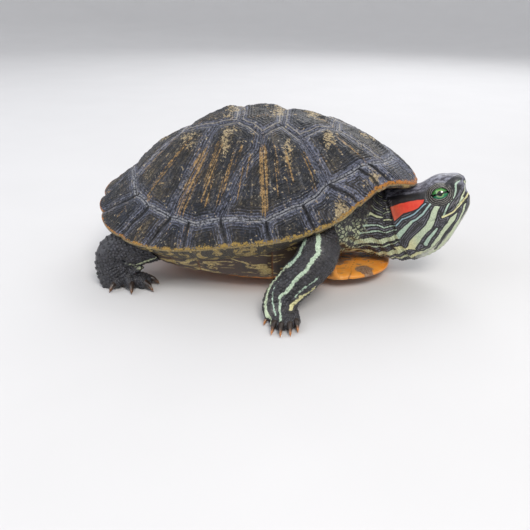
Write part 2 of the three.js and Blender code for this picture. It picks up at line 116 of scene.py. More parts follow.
# ------------------------------------------------------------------ outline and dome of the shell
SHELL_MIDDLE_TO_REAR = 80.8
SHELL_HALF_WIDTH = 62.3
REAR_FLARE = 0.09
OUTLINE_POWER = 2.35
OUTLINE_FIRST_GUESS = 0.8
OUTLINE_ROUNDS = 12
DOME_HEIGHT = 44.0
NUCHAL_REACH = 4.0
NUCHAL_DROP = 11.9
NUCHAL_SPREAD = 0.45
SHOULDER_ARCH = 6.0
SHOULDER_ARCH_ANGLE = 0.454
SHOULDER_ARCH_SPREAD = 0.227
RIM_HEIGHT_TERMS = (-1.7, 10.3, 10.7, -0.4, 3.0)
OUTLINE_CORNER_TERM = -0.009
OUTLINE_FIVE_LOBE_TERM = 0.03
DOME_POWER_SIDE = 0.87
DOME_POWER_FRONT = 0.91
DOME_POWER_REAR = 1.24
PLASTRON_LEVEL = -36.3
PLASTRON_THICKNESS = 3.5
CARAPACE_THICKNESS = 4.0
HIND_RISE = 8.0
FLANGE_WIDTH = 10.0
FLANGE_DROP_ENDS = 1.5
FLANGE_DROP_SIDES = 10
INNER_WALL = 4.5


def turn_from_front(angle):
    return np.abs((angle + np.pi) % (2 * np.pi) - np.pi)


def superellipse(angle, reach, half_width, power):
    """Radius of a rounded outline with these half axes."""
    sides = (np.abs(np.cos(angle)) / reach) ** power + (np.abs(np.sin(angle)) / half_width) ** power
    return sides ** (-1 / power)


def outline_radius(angle):
    """Radius of the shell's rim; the width depends on the radius, so it is found in rounds."""
    radius = np.full(np.shape(angle), SHELL_MIDDLE_TO_REAR * OUTLINE_FIRST_GUESS)
    for _ in range(OUTLINE_ROUNDS):
        half_width = SHELL_HALF_WIDTH * (1 - REAR_FLARE * radius * np.cos(angle) / SHELL_MIDDLE_TO_REAR)
        radius = superellipse(angle, SHELL_MIDDLE_TO_REAR, half_width, OUTLINE_POWER)
    corner = OUTLINE_CORNER_TERM * (np.cos(4 * angle) - 1) / 2
    five_lobe = OUTLINE_FIVE_LOBE_TERM * (np.cos(5 * angle) - np.cos(angle))
    reach = NUCHAL_REACH * bump(turn_from_front(angle), 0, NUCHAL_SPREAD)
    return radius * (1 + corner + five_lobe) + reach


def rim_height(angle):
    turn = turn_from_front(angle)
    level = sum(term * np.cos(k * angle) for k, term in enumerate(RIM_HEIGHT_TERMS))
    level = level + SHOULDER_ARCH * bump(turn, SHOULDER_ARCH_ANGLE, SHOULDER_ARCH_SPREAD)
    return level - NUCHAL_DROP * bump(turn, 0, NUCHAL_SPREAD)


def dome_height(angle, fraction, height=DOME_HEIGHT):
    end_power = np.where(np.cos(angle) > 0, DOME_POWER_FRONT, DOME_POWER_REAR)
    power = lerp(DOME_POWER_SIDE, end_power, np.cos(angle) ** 2)
    inside = np.clip(1 - fraction**2, 0, 1)
    return height * inside**power + rim_height(angle) * fraction**2


def dome_point(x, y):
    """The place on the smooth dome above a place in plan."""
    x, y = np.asarray(x, float), np.asarray(y, float)
    angle = np.arctan2(y, x)
    fraction = np.minimum(np.hypot(x, y) / outline_radius(angle), 1)
    return np.stack([x, y, dome_height(angle, fraction)], axis=-1)


def flange_end(angle):
    """Radius and height of the inner edge of the marginal plates' underside."""
    drop = lerp(FLANGE_DROP_ENDS, FLANGE_DROP_SIDES, np.sin(angle) ** 2)
    return outline_radius(angle) - FLANGE_WIDTH, rim_height(angle) - drop


def inner_dome(angle, step, inset=0.0):
    """Radius and height of the shell's inner face at a share of its radius."""
    radius = (outline_radius(angle) - INNER_WALL - inset) * step
    return radius, dome_height(angle, step, DOME_HEIGHT - CARAPACE_THICKNESS - inset)


FORE_LOBE = 74.0
LOBE_HALF_WIDTH = 40.0
LOBE_POWER = 2.9
BRIDGE_FRONT = math.radians(44)
BRIDGE_REAR = math.radians(133)
BRIDGE_BLEND = math.radians(8)


def bridge_share(angle):
    turn = turn_from_front(angle)
    opening = smooth(turn, BRIDGE_FRONT - BRIDGE_BLEND, BRIDGE_FRONT)
    return opening * (1 - smooth(turn, BRIDGE_REAR, BRIDGE_REAR + BRIDGE_BLEND))


def lobe_radius(angle):
    reach = np.where(np.cos(angle) > 0, FORE_LOBE, HIND_LOBE)
    return superellipse(angle, reach, LOBE_HALF_WIDTH, LOBE_POWER)


def hind_lift(angle, radius):
    return HIND_RISE * np.maximum(0, -radius * np.cos(angle) / HIND_LOBE) ** 1.1


def plastron_profile(angle):
    """Corners of the plastron's cross-section at an angle, as (radius, height) pairs."""
    share = bridge_share(angle)
    lobe = lobe_radius(angle)
    flange_radius, flange_level = flange_end(angle)
    flat = np.minimum(lobe, flange_radius - 9)

    def bottom(radius):
        return PLASTRON_LEVEL + hind_lift(angle, radius)

    def top(radius):
        return bottom(radius) + PLASTRON_THICKNESS

    def between(a, b):
        return lerp(a[0], b[0], share), lerp(a[1], b[1], share)

    rise = flange_level - bottom(flat)
    meet = (flange_radius - 0.45, flange_level - 0.2)
    inner = (meet[0] - 2, meet[1] + 3.5)
    return [
        (flat * 0, bottom(flat * 0)),
        (flat * 0.55, bottom(flat * 0.55)),
        between((lobe * 0.93, bottom(lobe * 0.93)), (flat * 0.97, bottom(flat))),
        between((lobe, bottom(lobe) + 1), (lerp(flat, meet[0], 0.55), bottom(flat) + rise * 0.28)),
        between((lobe, top(lobe) - 1), meet),
        between((lobe * 0.98, top(lobe) - 0.4), inner),
        between((lobe * 0.95, top(lobe)), (lerp(flat, meet[0], 0.5) - 3, bottom(flat) + rise * 0.28 + 3)),
        (flat * 0.85, top(flat * 0.85)),
        (flat * 0.5, top(flat * 0.5)),
        (flat * 0, top(flat * 0)),
    ]


TRUNK_REACH = 66.0
TRUNK_HALF_WIDTH = 48.0
TRUNK_POWER = 2.4
TRUNK_CLEAR = 0.7
TRUNK_FLANGE_GAP = 4


def trunk_profile(angle):
    """Corners of the trunk's cross-section at an angle, from the top down, inside the shell."""
    share = bridge_share(angle)
    outline = superellipse(angle, TRUNK_REACH, TRUNK_HALF_WIDTH, TRUNK_POWER)
    wide = np.minimum(outline, flange_end(angle)[0] - TRUNK_FLANGE_GAP)
    upper = inner_dome(angle, 0.8, TRUNK_CLEAR)
    top = PLASTRON_LEVEL + PLASTRON_THICKNESS + TRUNK_CLEAR
    level = np.zeros(np.shape(angle))
    return [
        (level, level + DOME_HEIGHT - CARAPACE_THICKNESS - TRUNK_CLEAR),
        *(inner_dome(angle, step, TRUNK_CLEAR) for step in (0.25, 0.5, 0.68)),
        (np.minimum(upper[0], wide), np.minimum(upper[1], dome_height(angle, 0.8) - 6)),
        (wide, lerp(2, -4, share)),
        (wide * 0.995, level - 13),
        (wide * 0.93, level - 22 + hind_lift(angle, wide) * 0.5),
        (wide * 0.8, level - 27.5 + hind_lift(angle, wide * 0.8)),
        (wide * 0.6, level + top + 0.8 + hind_lift(angle, wide * 0.6)),
        (level, level + top),
    ]


def ring_surface(rings):
    """Points, triangles and quads of a closed surface from rings; the end rings are single points."""
    count = len(rings[1])
    points = np.concatenate([rings[0][:1], *rings[1:-1], rings[-1][:1]])
    first = np.arange(count) + 1
    after = np.roll(first, -1)
    quads = []
    for row in range(len(rings) - 3):
        low, high = row * count, (row + 1) * count
        quads.append(np.stack([first + low, first + high, after + high, after + low], axis=1))
    last = len(points) - 1
    end = (len(rings) - 3) * count
    start_fan = np.stack([np.zeros(count, int), first, after], axis=1)
    end_fan = np.stack([np.full(count, last), after + end, first + end], axis=1)
    triangles = np.concatenate([start_fan, end_fan])
    return points, triangles, np.concatenate(quads)


def turned_surface(profile_at, segments):
    """The closed surface of a profile turned round the shell's middle."""
    angle = np.arange(segments) / segments * 2 * np.pi
    rings = [
        np.stack([radius * np.cos(angle), radius * np.sin(angle), height], axis=1)
        for radius, height in profile_at(angle)
    ]
    return ring_surface(rings)


CARAPACE_STEPS = (0, 0.2, 0.4, 0.58, 0.73, 0.85, 0.93, 0.975)
INNER_STEPS = (0.86, 0.7, 0.5, 0.25, 0)


def carapace_profile(angle):
    profile = [(outline_radius(angle) * step, dome_height(angle, step)) for step in CARAPACE_STEPS]
    profile.append((outline_radius(angle), rim_height(angle)))
    flange_radius, flange_level = flange_end(angle)
    profile.append((flange_radius, flange_level))
    profile.append((flange_radius - 2, flange_level + 4))
    return profile + [inner_dome(angle, step) for step in INNER_STEPS]


# ------------------------------------------------------------------ lofts along a body part
class Sections:
    """Cross-sections along a part: centres, directions across, half widths, reach above and below."""

    def __init__(self, centre, side, up, width, above, below, power=2.3, taper=0.0):
        self.centre, self.side, self.up = (np.asarray(v, float) for v in (centre, side, up))
        self.width, self.above, self.below, self.power, self.taper = (
            np.broadcast_to(np.asarray(v, float), (len(centre),)).copy()
            for v in (width, above, below, power, taper)
        )

    def rings(self, segments):
        turn = np.arange(segments) / segments * 2 * np.pi
        c, s = np.cos(turn)[None, :], np.sin(turn)[None, :]
        power = self.power[:, None]
        size = (np.abs(c) ** power + np.abs(s) ** power) ** (-1 / power)
        narrowing = 1 - self.taper[:, None] * np.maximum(0, -s * size)
        across = self.width[:, None] * c * size * narrowing
        raised = np.where(s > 0, self.above[:, None], self.below[:, None]) * s * size
        shift = across[..., None] * self.side[:, None]
        return self.centre[:, None] + shift + raised[..., None] * self.up[:, None]

    def surface(self, segments, tip=0.35):
        """The closed surface, with tips that stand out by a share of the end sections' reach."""
        rings = list(self.rings(segments))
        ends = []
        for at, neighbour in ((0, 1), (-1, -2)):
            outward = unit(self.centre[at] - self.centre[neighbour])
            ends.append(self.centre[at] + outward * min(self.above[at], self.below[at]) * tip)
        return ring_surface([ends[0][None]] + rings + [ends[1][None]])


def curve_point(stations, t):
    """A centripetal Catmull-Rom curve through the stations, at t from 0 to 1."""
    points = np.asarray(stations, float)
    last = len(points) - 1
    place = t * last
    k = min(int(place), last - 1)
    share = place - k
    before = points[k - 1] if k > 0 else 2 * points[0] - points[1]
    after = points[k + 2] if k + 2 <= last else 2 * points[last] - points[last - 1]
    a, b, c, d = before, points[k], points[k + 1], after
    spans = [max(np.sum((q - p) ** 2) ** 0.25, 1e-4) for p, q in ((a, b), (b, c), (c, d))]
    start = ((b - a) / spans[0] - (c - a) / (spans[0] + spans[1]) + (c - b) / spans[1]) * spans[1]
    end = ((c - b) / spans[1] - (d - b) / (spans[1] + spans[2]) + (d - c) / spans[2]) * spans[1]
    terms = (b, start, -3 * b + 3 * c - 2 * start - end, 2 * b - 2 * c + start + end)
    return sum(term * share**power for power, term in enumerate(terms))


def limb_sections(stations, up_hint, count):
    """Sections along a smooth line through [x, y, z, half width, half height] stations."""
    stations = np.asarray(stations, float)
    line = stations[:, :3]
    last = len(stations) - 1
    centre, side, up, width, height = [], [], [], [], []
    for k in range(count + 1):
        t = k / count
        place = min(t * last, last - 1e-6)
        lower = int(place)
        share = smooth(place - lower, 0, 1)
        tangent = unit(curve_point(line, min(t + 1e-4, 1)) - curve_point(line, max(t - 1e-4, 0)))
        across = unit(np.cross(tangent, up_hint))
        centre.append(curve_point(line, t))
        side.append(across)
        up.append(unit(np.cross(across, tangent)))
        width.append(lerp(stations[lower, 3], stations[lower + 1, 3], share))
        height.append(lerp(stations[lower, 4], stations[lower + 1, 4], share))
    return Sections(centre, side, up, width, height, height)


class Line:
    """A finely divided centre line with its frames, which says where along and around it a point lies."""

    STEP = 0.5
    AT_ONCE = 20000

    def __init__(self, sections, start=0.0):
        lengths = np.linalg.norm(np.diff(sections.centre, axis=0), axis=1)
        along = np.concatenate([[0], np.cumsum(lengths)])
        fine = np.arange(0, along[-1], self.STEP)
        self.centre, side, up = (
            np.stack([np.interp(fine, along, column) for column in values.T], axis=1)
            for values in (sections.centre, sections.side, sections.up)
        )
        self.side, self.up = unit(side), unit(up)
        self.radius = np.interp(fine, along, (sections.width + (sections.above + sections.below) / 2) / 2)
        self.tangent = unit(np.gradient(self.centre, axis=0))
        self.along = fine + start

    def locate(self, points):
        """Distance along, angle around in degrees, and distance from the line over the local radius."""
        parts = [self.locate_some(points[k:k + self.AT_ONCE]) for k in range(0, len(points), self.AT_ONCE)]
        return np.concatenate([np.empty((3, 0)), *parts], axis=1)

    def locate_some(self, points):
        nearest = np.argmin(((points[:, None] - self.centre[None]) ** 2).sum(-1), axis=1)
        offset = points - self.centre[nearest]
        ahead, across, raised = (
            (offset * way[nearest]).sum(-1) for way in (self.tangent, self.side, self.up)
        )
        angle = np.degrees(np.arctan2(raised, across))
        return self.along[nearest] + ahead, angle, np.linalg.norm(offset, axis=1) / self.radius[nearest]


# ------------------------------------------------------------------ head and neck
def turn_matrix(yaw, pitch):
    """Turns the x axis by yaw to the left, after lifting it by pitch; angles in degrees."""
    turned = Matrix.Rotation(math.radians(yaw), 3, "Z")
    return np.array(turned @ Matrix.Rotation(-math.radians(pitch), 3, "Y"))


HEAD_BASE = np.array([74.8, -5.3, -13.1])
HEAD_TURN = turn_matrix(-14, 29)
# [distance from the base of the head, half width, above, below, power, taper of the underside]
HEAD_STATIONS = np.array([
    [-3, 14.6, 21.5, 20.5, 2.2, 0.12],
    [3, 14.3, 20.5, 22.4, 2.2, 0.2],
    [9, 14.0, 19.0, 22.8, 2.3, 0.25],
    [15, 13.6, 16.4, 22, 2.4, 0.28],
    [20, 12.9, 14.7, 20.4, 2.4, 0.28],
    [24.5, 12.0, 15.4, 17.6, 2.4, 0.25],
    [28.5, 11.0, 16.2, 14.4, 2.4, 0.2],
    [32.5, 9.4, 15.8, 11.2, 2.3, 0.15],
    [36, 7.4, 14.3, 8.4, 2.2, 0.1],
    [38.8, 5.2, 12.2, 5.8, 2.2, 0.05],
    [40.4, 3.2, 9.8, 3.6, 2.0, 0],
])
# [x, y, z, half width, above, below, yaw, pitch]
NECK_STATIONS = np.array([
    [46, -1, -11.5, 19, 21, 17, 0, 0],
    [55, -1.5, -12, 17.8, 21, 18.5, -3, 5],
    [63, -2.8, -13, 16, 20.5, 19, -8, 14],
])
NECK_FORM = [2.3, 0.0]  # power, taper of the underside
NECK_LENGTH = 31.2
HEAD_SECTION_COUNT = 90
EYE_PLACE = (29.4, 6.2, 7.0)
EYE_RADIUS = 4.9


def head_point(along, across, raised):
    local = np.stack(np.broadcast_arrays(along, across, raised), axis=-1).astype(float)
    return local @ HEAD_TURN.T + HEAD_BASE


def head_local(points):
    return (points - HEAD_BASE) @ HEAD_TURN


def head_sections():
    """Sections from the root of the neck to the snout, close together so that the changes are soft."""
    turns = [turn_matrix(yaw, pitch) for yaw, pitch in NECK_STATIONS[:, 6:]]
    turns = np.array(turns + [HEAD_TURN] * len(HEAD_STATIONS))
    centre = np.concatenate([NECK_STATIONS[:, :3], head_point(HEAD_STATIONS[:, 0], 0, 0)])
    neck_sizes = np.hstack([NECK_STATIONS[:, 3:6], [NECK_FORM] * len(NECK_STATIONS)])
    sizes = np.concatenate([neck_sizes, HEAD_STATIONS[:, 1:]])
    coarse = np.concatenate([[0], np.cumsum(np.linalg.norm(np.diff(centre, axis=0), axis=1))])
    fine = np.linspace(0, coarse[-1], HEAD_SECTION_COUNT)
    values = np.hstack([centre, turns[:, :, 1], turns[:, :, 2], sizes])
    values = np.stack([soft_interp(fine, coarse, column) for column in values.T], axis=1)
    return Sections(values[:, 0:3], unit(values[:, 3:6]), unit(values[:, 6:9]), *values[:, 9:].T)


SOFTENING = (-1.8, -0.9, 0, 0.9, 1.8)


def soft_interp(at, places, values):
    """Linear interpolation, rounded off over about two millimetres."""
    total = sum(np.interp(np.clip(at + d, places[0], places[-1]), places, values) for d in SOFTENING)
    return total / len(SOFTENING)


# ------------------------------------------------------------------ limbs, as on the right side
FORELEG = [
    [26, -28, -12, 9, 10],
    [36, -42, -12.5, 10.5, 10.5],
    [37.5, -51, -16, 10, 10],
    [31.5, -58, -23, 8.8, 9],
    [25, -63.5, -29.5, 8.2, 7.6],
    [22, -68, -34.2, 8.2, 6],
    [22.6, -73, -37, 8.0, 4.6],
    [23.6, -76, -38.6, 7.6, 3.2],
]
FORE_UP = (0.3, -0.35, 0.9)
# Digits: root, tip, half thickness at the root, and the point of the claw.
FORE_DIGITS = [
    ((28.5, -71, -37.5), (31.2, -79, -39.2), 2.7, (32.3, -83.6, -40.6)),
    ((26.5, -73, -37.5), (28.4, -82, -39.2), 2.8, (29.4, -87.6, -40.6)),
    ((24.2, -73, -37.5), (24.6, -83, -39.2), 2.8, (25, -89, -40.6)),
    ((22, -73, -37.5), (21.2, -82, -39.2), 2.8, (20.8, -88, -40.6)),
    ((20, -70, -37.5), (17.6, -75.5, -38.8), 2.6, (16.2, -80, -40.4)),
]
HINDLEG = [
    [-36, -30, -16, 10, 10],
    [-46, -37, -19, 10.5, 11],
    [-57, -43, -21.5, 10.5, 11],
    [-65.5, -46, -26, 10.5, 10],
    [-64, -48.5, -32.5, 11.6, 6.6],
    [-60, -50.5, -37.4, 12.2, 3.8],
]
HIND_UP = (0, -0.9, 0.4)
HIND_DIGITS = [
    ((-54, -47, -37), (-48.2, -45.6, -38.6), 3.0, (-43.6, -45.8, -40.4)),
    ((-56, -49, -37), (-48.6, -51.8, -38.8), 3.2, (-43.8, -55, -40.6)),
    ((-59, -50, -37), (-55.2, -54.8, -38.8), 3.3, (-53.6, -60, -40.6)),
    ((-63, -50, -37), (-64.2, -54.8, -38.8), 3.3, (-65.2, -60, -40.6)),
    ((-65.5, -48.5, -36), (-70.6, -51.6, -38.4), 3.1, None),
]
TAIL = [
    [-54, 2, -14, 8, 8],
    [-64, 3, -15, 7, 7],
    [-72, 6.5, -18, 5.4, 5.4],
    [-77, 12.5, -22, 3.8, 3.8],
    [-78, 20, -25, 2.4, 2.4],
    [-76, 26, -26.5, 1.2, 1.2],
]
LEVEL_UP = (0, 0, 1)
MIRROR = np.array([1.0, -1.0, 1.0])


def digit_sections(root, tip, radius):
    """A digit that arches a little, with two knuckles and a thinner tip."""
    stations = []
    for t in (0, 0.25, 0.5, 0.75, 1):
        knuckle = 1 + 0.07 * math.sin(2 * math.pi * 2 * t)
        size = radius * (1 - 0.28 * t * t) * knuckle
        arch = np.array([0, 0, math.sin(math.pi * t) * radius * 0.25])
        place = lerp(np.array(root, float), np.array(tip, float), t) + arch
        stations.append([*place, size, size])
    return limb_sections(stations, LEVEL_UP, 8)


# ------------------------------------------------------------------ meshes and pieces
def put_in_scene(name, data):
    made = bpy.data.objects.new(name, data)
    bpy.context.scene.collection.objects.link(made)
    return made


def make_piece(name, points, faces, nodes, marks):
    """A mesh object from points in millimetres, riding on the root and standing for some nodes."""
    mesh = bpy.data.meshes.new(name)
    faces = [np.asarray(part, np.int32) for part in faces]
    mesh.vertices.add(len(points))
    mesh.vertices.foreach_set("co", to_row(points).astype(np.float32).ravel())
    mesh.loops.add(sum(part.size for part in faces))
    mesh.loops.foreach_set("vertex_index", np.concatenate([part.ravel() for part in faces]))
    sizes = np.concatenate([np.full(len(part), part.shape[1], np.int32) for part in faces])
    mesh.polygons.add(len(sizes))
    mesh.polygons.foreach_set("loop_start", np.concatenate([[0], np.cumsum(sizes)[:-1]]).astype(np.int32))
    mesh.update(calc_edges=True)
    mesh.polygons.foreach_set("use_smooth", np.ones(len(sizes), bool))
    for key, values in marks.items():
        layer = mesh.attributes.new(key, "FLOAT", "POINT")
        layer.data.foreach_set("value", np.asarray(values, np.float32))
    mesh.validate()
    piece = put_in_scene(name, mesh)
    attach(piece, "root")
    if nodes:
        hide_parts(*nodes)
    return piece


def grid_quads(rows, columns):
    index = np.arange(rows * columns).reshape(rows, columns)
    corners = [index[:-1, :-1], index[1:, :-1], index[1:, 1:], index[:-1, 1:]]
    return np.stack([part.ravel() for part in corners], axis=1)


def grid_border(rows, columns):
    """The vertices round a grid's edge, once round."""
    index = np.arange(rows * columns).reshape(rows, columns)
    return np.concatenate([index[:-1, 0], index[-1, :-1], index[:0:-1, -1], index[0, :0:-1]])


def disc_grid(rows, columns):
    """Angle and fraction of the radius of a square grid laid over a disc."""
    u, v = np.meshgrid(np.linspace(-1, 1, rows), np.linspace(-1, 1, columns), indexing="ij")
    x, y = u * np.sqrt(1 - v * v / 2), v * np.sqrt(1 - u * u / 2)
    return np.arctan2(y, x), np.minimum(np.hypot(x, y), 1)


def grid_normals(points, rows, columns):
    sheet = points.reshape(rows, columns, 3)
    normals = np.cross(np.gradient(sheet, axis=0), np.gradient(sheet, axis=1))
    return unit(normals).reshape(-1, 3)


# ------------------------------------------------------------------ scutes of the carapace
# Corners of the plates on one side, in plan: x forward, y out from the midline.
VERTEBRALS = [
    [(71, 0), (71, 3.6), (65.6, 21.2), (41, 10.5), (41, 0)],
    [(41, 0), (41, 10.5), (24.5, 24.2), (15, 17.7), (14, 0)],
    [(14, 0), (15, 17.7), (6.1, 25.9), (-6.7, 16.3), (-9, 0)],
    [(-9, 0), (-6.7, 16.3), (-19, 18.3), (-38, 12), (-37, 0)],
    [(-37, 0), (-38, 12), (-59.3, 31), (-65, 17), (-68.5, 0)],
]
SEAM_COSTAL_2_3 = [(6.1, 25.9), (5.5, 34.1), (0.4, 40.6), (-3.6, 47.6), (-9, 56)]
SEAM_COSTAL_3_4 = [(-19, 18.3), (-21.7, 27), (-23, 34.6), (-28.7, 45.1), (-34, 53.4)]
INNER_RING = [
    (71, 0), (71, 3.6), (65.6, 21.2), (59, 28.5), (54.2, 32.3), (40.7, 41.3), (30, 50.9), (13.3, 57.5),
    (-9, 56), (-24.9, 55.4), (-34, 53.4), (-46.1, 48.6), (-54, 42), (-59.3, 31), (-65, 17), (-68.5, 0),
]
COSTALS = [
    [(41, 10.5), *INNER_RING[2:6], (24.5, 24.2)],
    [(24.5, 24.2), *INNER_RING[5:8], *SEAM_COSTAL_2_3[::-1], (15, 17.7)],
    [*SEAM_COSTAL_2_3, INNER_RING[9], *SEAM_COSTAL_3_4[::-1], (-6.7, 16.3)],
    [*SEAM_COSTAL_3_4, *INNER_RING[11:14], (-38, 12)],
]
# Seams between marginal plates: the corner on the inner ring, and the angle of the rim end.
MARGINAL_SEAMS = [
    ((71, 3.6), 3), ((59, 28.5), 23.2), ((54.2, 32.3), 28.8), ((40.7, 41.3), 37.2), ((30, 50.9), 56.5),
    ((13.3, 57.5), 75), ((-9, 56), 94.8), ((-24.9, 55.4), 113), ((-34, 53.4), 126.5), ((-46.1, 48.6), 137.8),
    ((-54, 42), 153.2), ((-65, 17), 163.5), ((-68.5, 0), 180),
]
AREOLAE = [
    (58, 0), (28, 0), (6, 0), (-15, 0), (-54, 0),
    (36.5, 21.3), (17.5, 33.3), (-12.1, 27.2), (-34, 24.6),
]
VERTEBRAL_SEAM, COSTAL_SEAM, RING_SEAM, MARGINAL_SEAM = range(4)
NUCHAL = 9
LAST_MARGINAL = 21
SEAM_OVERRUN = 1.02
FAR_FROM_CORE = 30.0


def inside(polygon, x, y):
    """Whether points lie in a polygon."""
    result = np.zeros(len(x), bool)
    for (ax, ay), (bx, by) in zip(polygon, polygon[1:] + polygon[:1]):
        if ay == by:
            continue
        crosses = (ay > y) != (by > y)
        result ^= crosses & (x < (bx - ax) * (y - ay) / (by - ay) + ax)
    return result


def divided(line, step=0.3):
    """Points along a plan line, a step apart."""
    points = []
    for a, b in zip(line, line[1:]):
        count = max(1, int(math.dist(a, b) / step))
        points += [(lerp(a[0], b[0], k / count), lerp(a[1], b[1], k / count)) for k in range(count)]
    return points + [line[-1]]


def rim_corner(degrees, fraction=1.0):
    angle = math.radians(degrees)
    radius = float(outline_radius(np.array(angle))) * fraction
    return radius * math.cos(angle), radius * math.sin(angle)


def seam_lines():
    """(kind, plan line) of every seam on one side."""
    lines = [(VERTEBRAL_SEAM, [plate[-2], plate[-1]]) for plate in VERTEBRALS[:4]]
    front = [(65.6, 21.2), (41, 10.5), (24.5, 24.2), (15, 17.7), (6.1, 25.9), (-6.7, 16.3)]
    lines.append((VERTEBRAL_SEAM, front))
    lines.append((VERTEBRAL_SEAM, [(-6.7, 16.3), (-19, 18.3), (-38, 12), (-59.3, 31)]))
    lines.append((COSTAL_SEAM, [(24.5, 24.2), (40.7, 41.3)]))
    lines.append((COSTAL_SEAM, SEAM_COSTAL_2_3))
    lines.append((COSTAL_SEAM, SEAM_COSTAL_3_4))
    lines.append((RING_SEAM, INNER_RING))
    lines += [(MARGINAL_SEAM, [corner, rim_corner(degrees)]) for corner, degrees in MARGINAL_SEAMS]
    return lines


def wavy(line, seed):
    """A seam's line with the slight waver of a real one."""
    points = np.array(divided(line))
    places = np.column_stack([points, np.zeros(len(points))])
    return points + 0.45 * np.stack([noise(places, 5, seed), noise(places, 5, seed + 1)], axis=1)


def seam_tree():
    """A search tree of points on the seams, on both sides, with the kind of each."""
    points, kinds = [], []
    for seed, (kind, line) in enumerate(seam_lines()):
        for side in (1, -1):
            plan = wavy(line, seed * 7 + (40 if side > 0 else 300)) * np.array([1, side])
            points.append(dome_point(plan[:, 0], plan[:, 1]))
            kinds.append(np.full(len(plan), kind))
    points, kinds = np.concatenate(points), np.concatenate(kinds)
    tree = KDTree(len(points))
    for index, point in enumerate(points):
        tree.insert(point, index)
    tree.balance()
    return tree, kinds


def past_seam(seam, x, half):
    """Signed distance in plan from the line of a marginal seam, negative in front of it."""
    corner, rim_degrees = seam
    rim = rim_corner(rim_degrees, SEAM_OVERRUN)
    cross = (rim[0] - corner[0]) * (half - corner[1]) - (rim[1] - corner[1]) * (x - corner[0])
    return cross / math.dist(corner, rim)


def plate_numbers(x, half):
    """Which plate each place is on: 0 to 4 vertebral, 5 to 8 costal, 9 nuchal, 10 to 21 marginal."""
    number = np.full(len(x), -1)
    for index, plate in enumerate(VERTEBRALS + COSTALS):
        number[inside(plate, x, half) & (number < 0)] = index
    degrees = np.degrees(np.arctan2(half, x))
    for k, seam in enumerate(MARGINAL_SEAMS):
        near = np.abs(degrees - seam[1]) < 25
        before = np.where(near, past_seam(seam, x, half) < 0, degrees < seam[1])
        number[before & (number < 0)] = NUCHAL + k
    number[number < 0] = LAST_MARGINAL
    return number


def capsule(x, y, line, half_width):
    """Share of a soft-edged streak along a plan line."""
    (ax, ay), (bx, by) = line
    dx, dy = bx - ax, by - ay
    t = np.clip(((x - ax) * dx + (y - ay) * dy) / (dx**2 + dy**2), 0, 1)
    return 1 - smooth(np.hypot(x - ax - t * dx, y - ay - t * dy), half_width * 0.4, half_width * 1.4)


# Pale patches at the plates' oldest parts: place, reach forward, reach sideways, strength.
TAN_PATCHES = [
    (58, 0, 5, 4, 0.7), (29, 0, 4.5, 8, 0.8), (11.5, 5, 3.5, 8, 0.95), (-12, 4, 4, 8, 0.8),
    (-50, 0, 7, 6, 0.5), (38, 23, 3.6, 5.5, 0.8), (20, 34, 3.2, 7, 0.75), (-11, 29, 3.4, 7.5, 0.9),
    (-31, 24, 4.5, 6, 0.7), (62, 33, 4, 4, 0.8), (48, 47, 4, 4.5, 0.95),
]
# Ochre and olive streaks: the two ends in plan, half width, strength.
STREAKS = [
    ((-22.3, 34), (-28.2, 51), 3.4, 1.0), ((-14, 31), (-17, 50), 2.4, 0.75), ((-4, 33), (-10, 50), 2.2, 0.65),
    ((7.9, 35), (12.1, 54), 2.8, 0.95), ((20, 35), (24, 52), 2.4, 0.7), ((28, 33), (34, 44), 2.0, 0.6),
    ((-30, 27), (-46, 45), 2.6, 0.7), ((-41, 20), (-55, 34), 2.4, 0.7), ((43, 20), (56, 28), 2.0, 0.6),
    ((32, 4), (40, 8), 2.0, 0.6), ((-14, 8), (-30, 10), 2.2, 0.6), ((9, 12), (-2, 14), 2.0, 0.6),
    ((2, 38), (-2, 50), 1.8, 0.6), ((14, 30), (17, 52), 1.6, 0.55),
]


def shell_marks(points):
    """What colours and shapes the top of the carapace at points on the smooth dome."""
    folded = np.column_stack([points[:, 0], np.abs(points[:, 1]), points[:, 2]])
    x, half, _ = folded.T
    tree, kinds = seam_tree()
    found = [tree.find(point) for point in points]
    seam = np.array([distance for _, _, distance in found])
    kind = kinds[np.array([index for _, index, _ in found])]
    number = plate_numbers(x, half)
    core = np.full(len(x), FAR_FROM_CORE)
    for index, place in enumerate(dome_point(*np.array(AREOLAE).T)):
        on_plate = number == index
        core[on_plate] = np.linalg.norm(folded[on_plate] - place, axis=1)
    tan, streak = np.zeros(len(x)), np.zeros(len(x))
    for px, py, long, wide, strength in TAN_PATCHES:
        patch = np.exp(-(((x - px) / long) ** 2 + ((half - py) / wide) ** 2) ** 1.4)
        tan = np.maximum(tan, strength * patch)
    for start, end, half_width, strength in STREAKS:
        streak = np.maximum(streak, strength * capsule(x, half, (start, end), half_width))
    return seam, kind, number, core, tan, streak


RING_STEPS = (1.2, 2.3, 3.5, 4.9, 6.5, 8.4)
NOTCH_DEPTH = 1.7
RIM_NICK = 0.35
FRONT_STEP = 1.5
TOP_ROWS, TOP_COLUMNS = 430, 330


def notch(angle):
    """How far the rim is cut in at each seam between marginal plates, most at the rear."""
    degrees = np.degrees(turn_from_front(angle))
    depth = np.zeros(np.shape(angle))
    for _, rim_degrees in MARGINAL_SEAMS:
        past = degrees - rim_degrees
        strength = float(smooth(rim_degrees, 105, 150)) * NOTCH_DEPTH + RIM_NICK
        depth = np.maximum(depth, strength * np.exp(-np.abs(past) / 1.7))
        if 15 < rim_degrees < 60:
            set_back = smooth(degrees, rim_degrees - 0.4, rim_degrees + 0.4) * np.exp(-past / 4)
            depth = np.maximum(depth, FRONT_STEP * set_back * (degrees > rim_degrees - 1))
    return depth


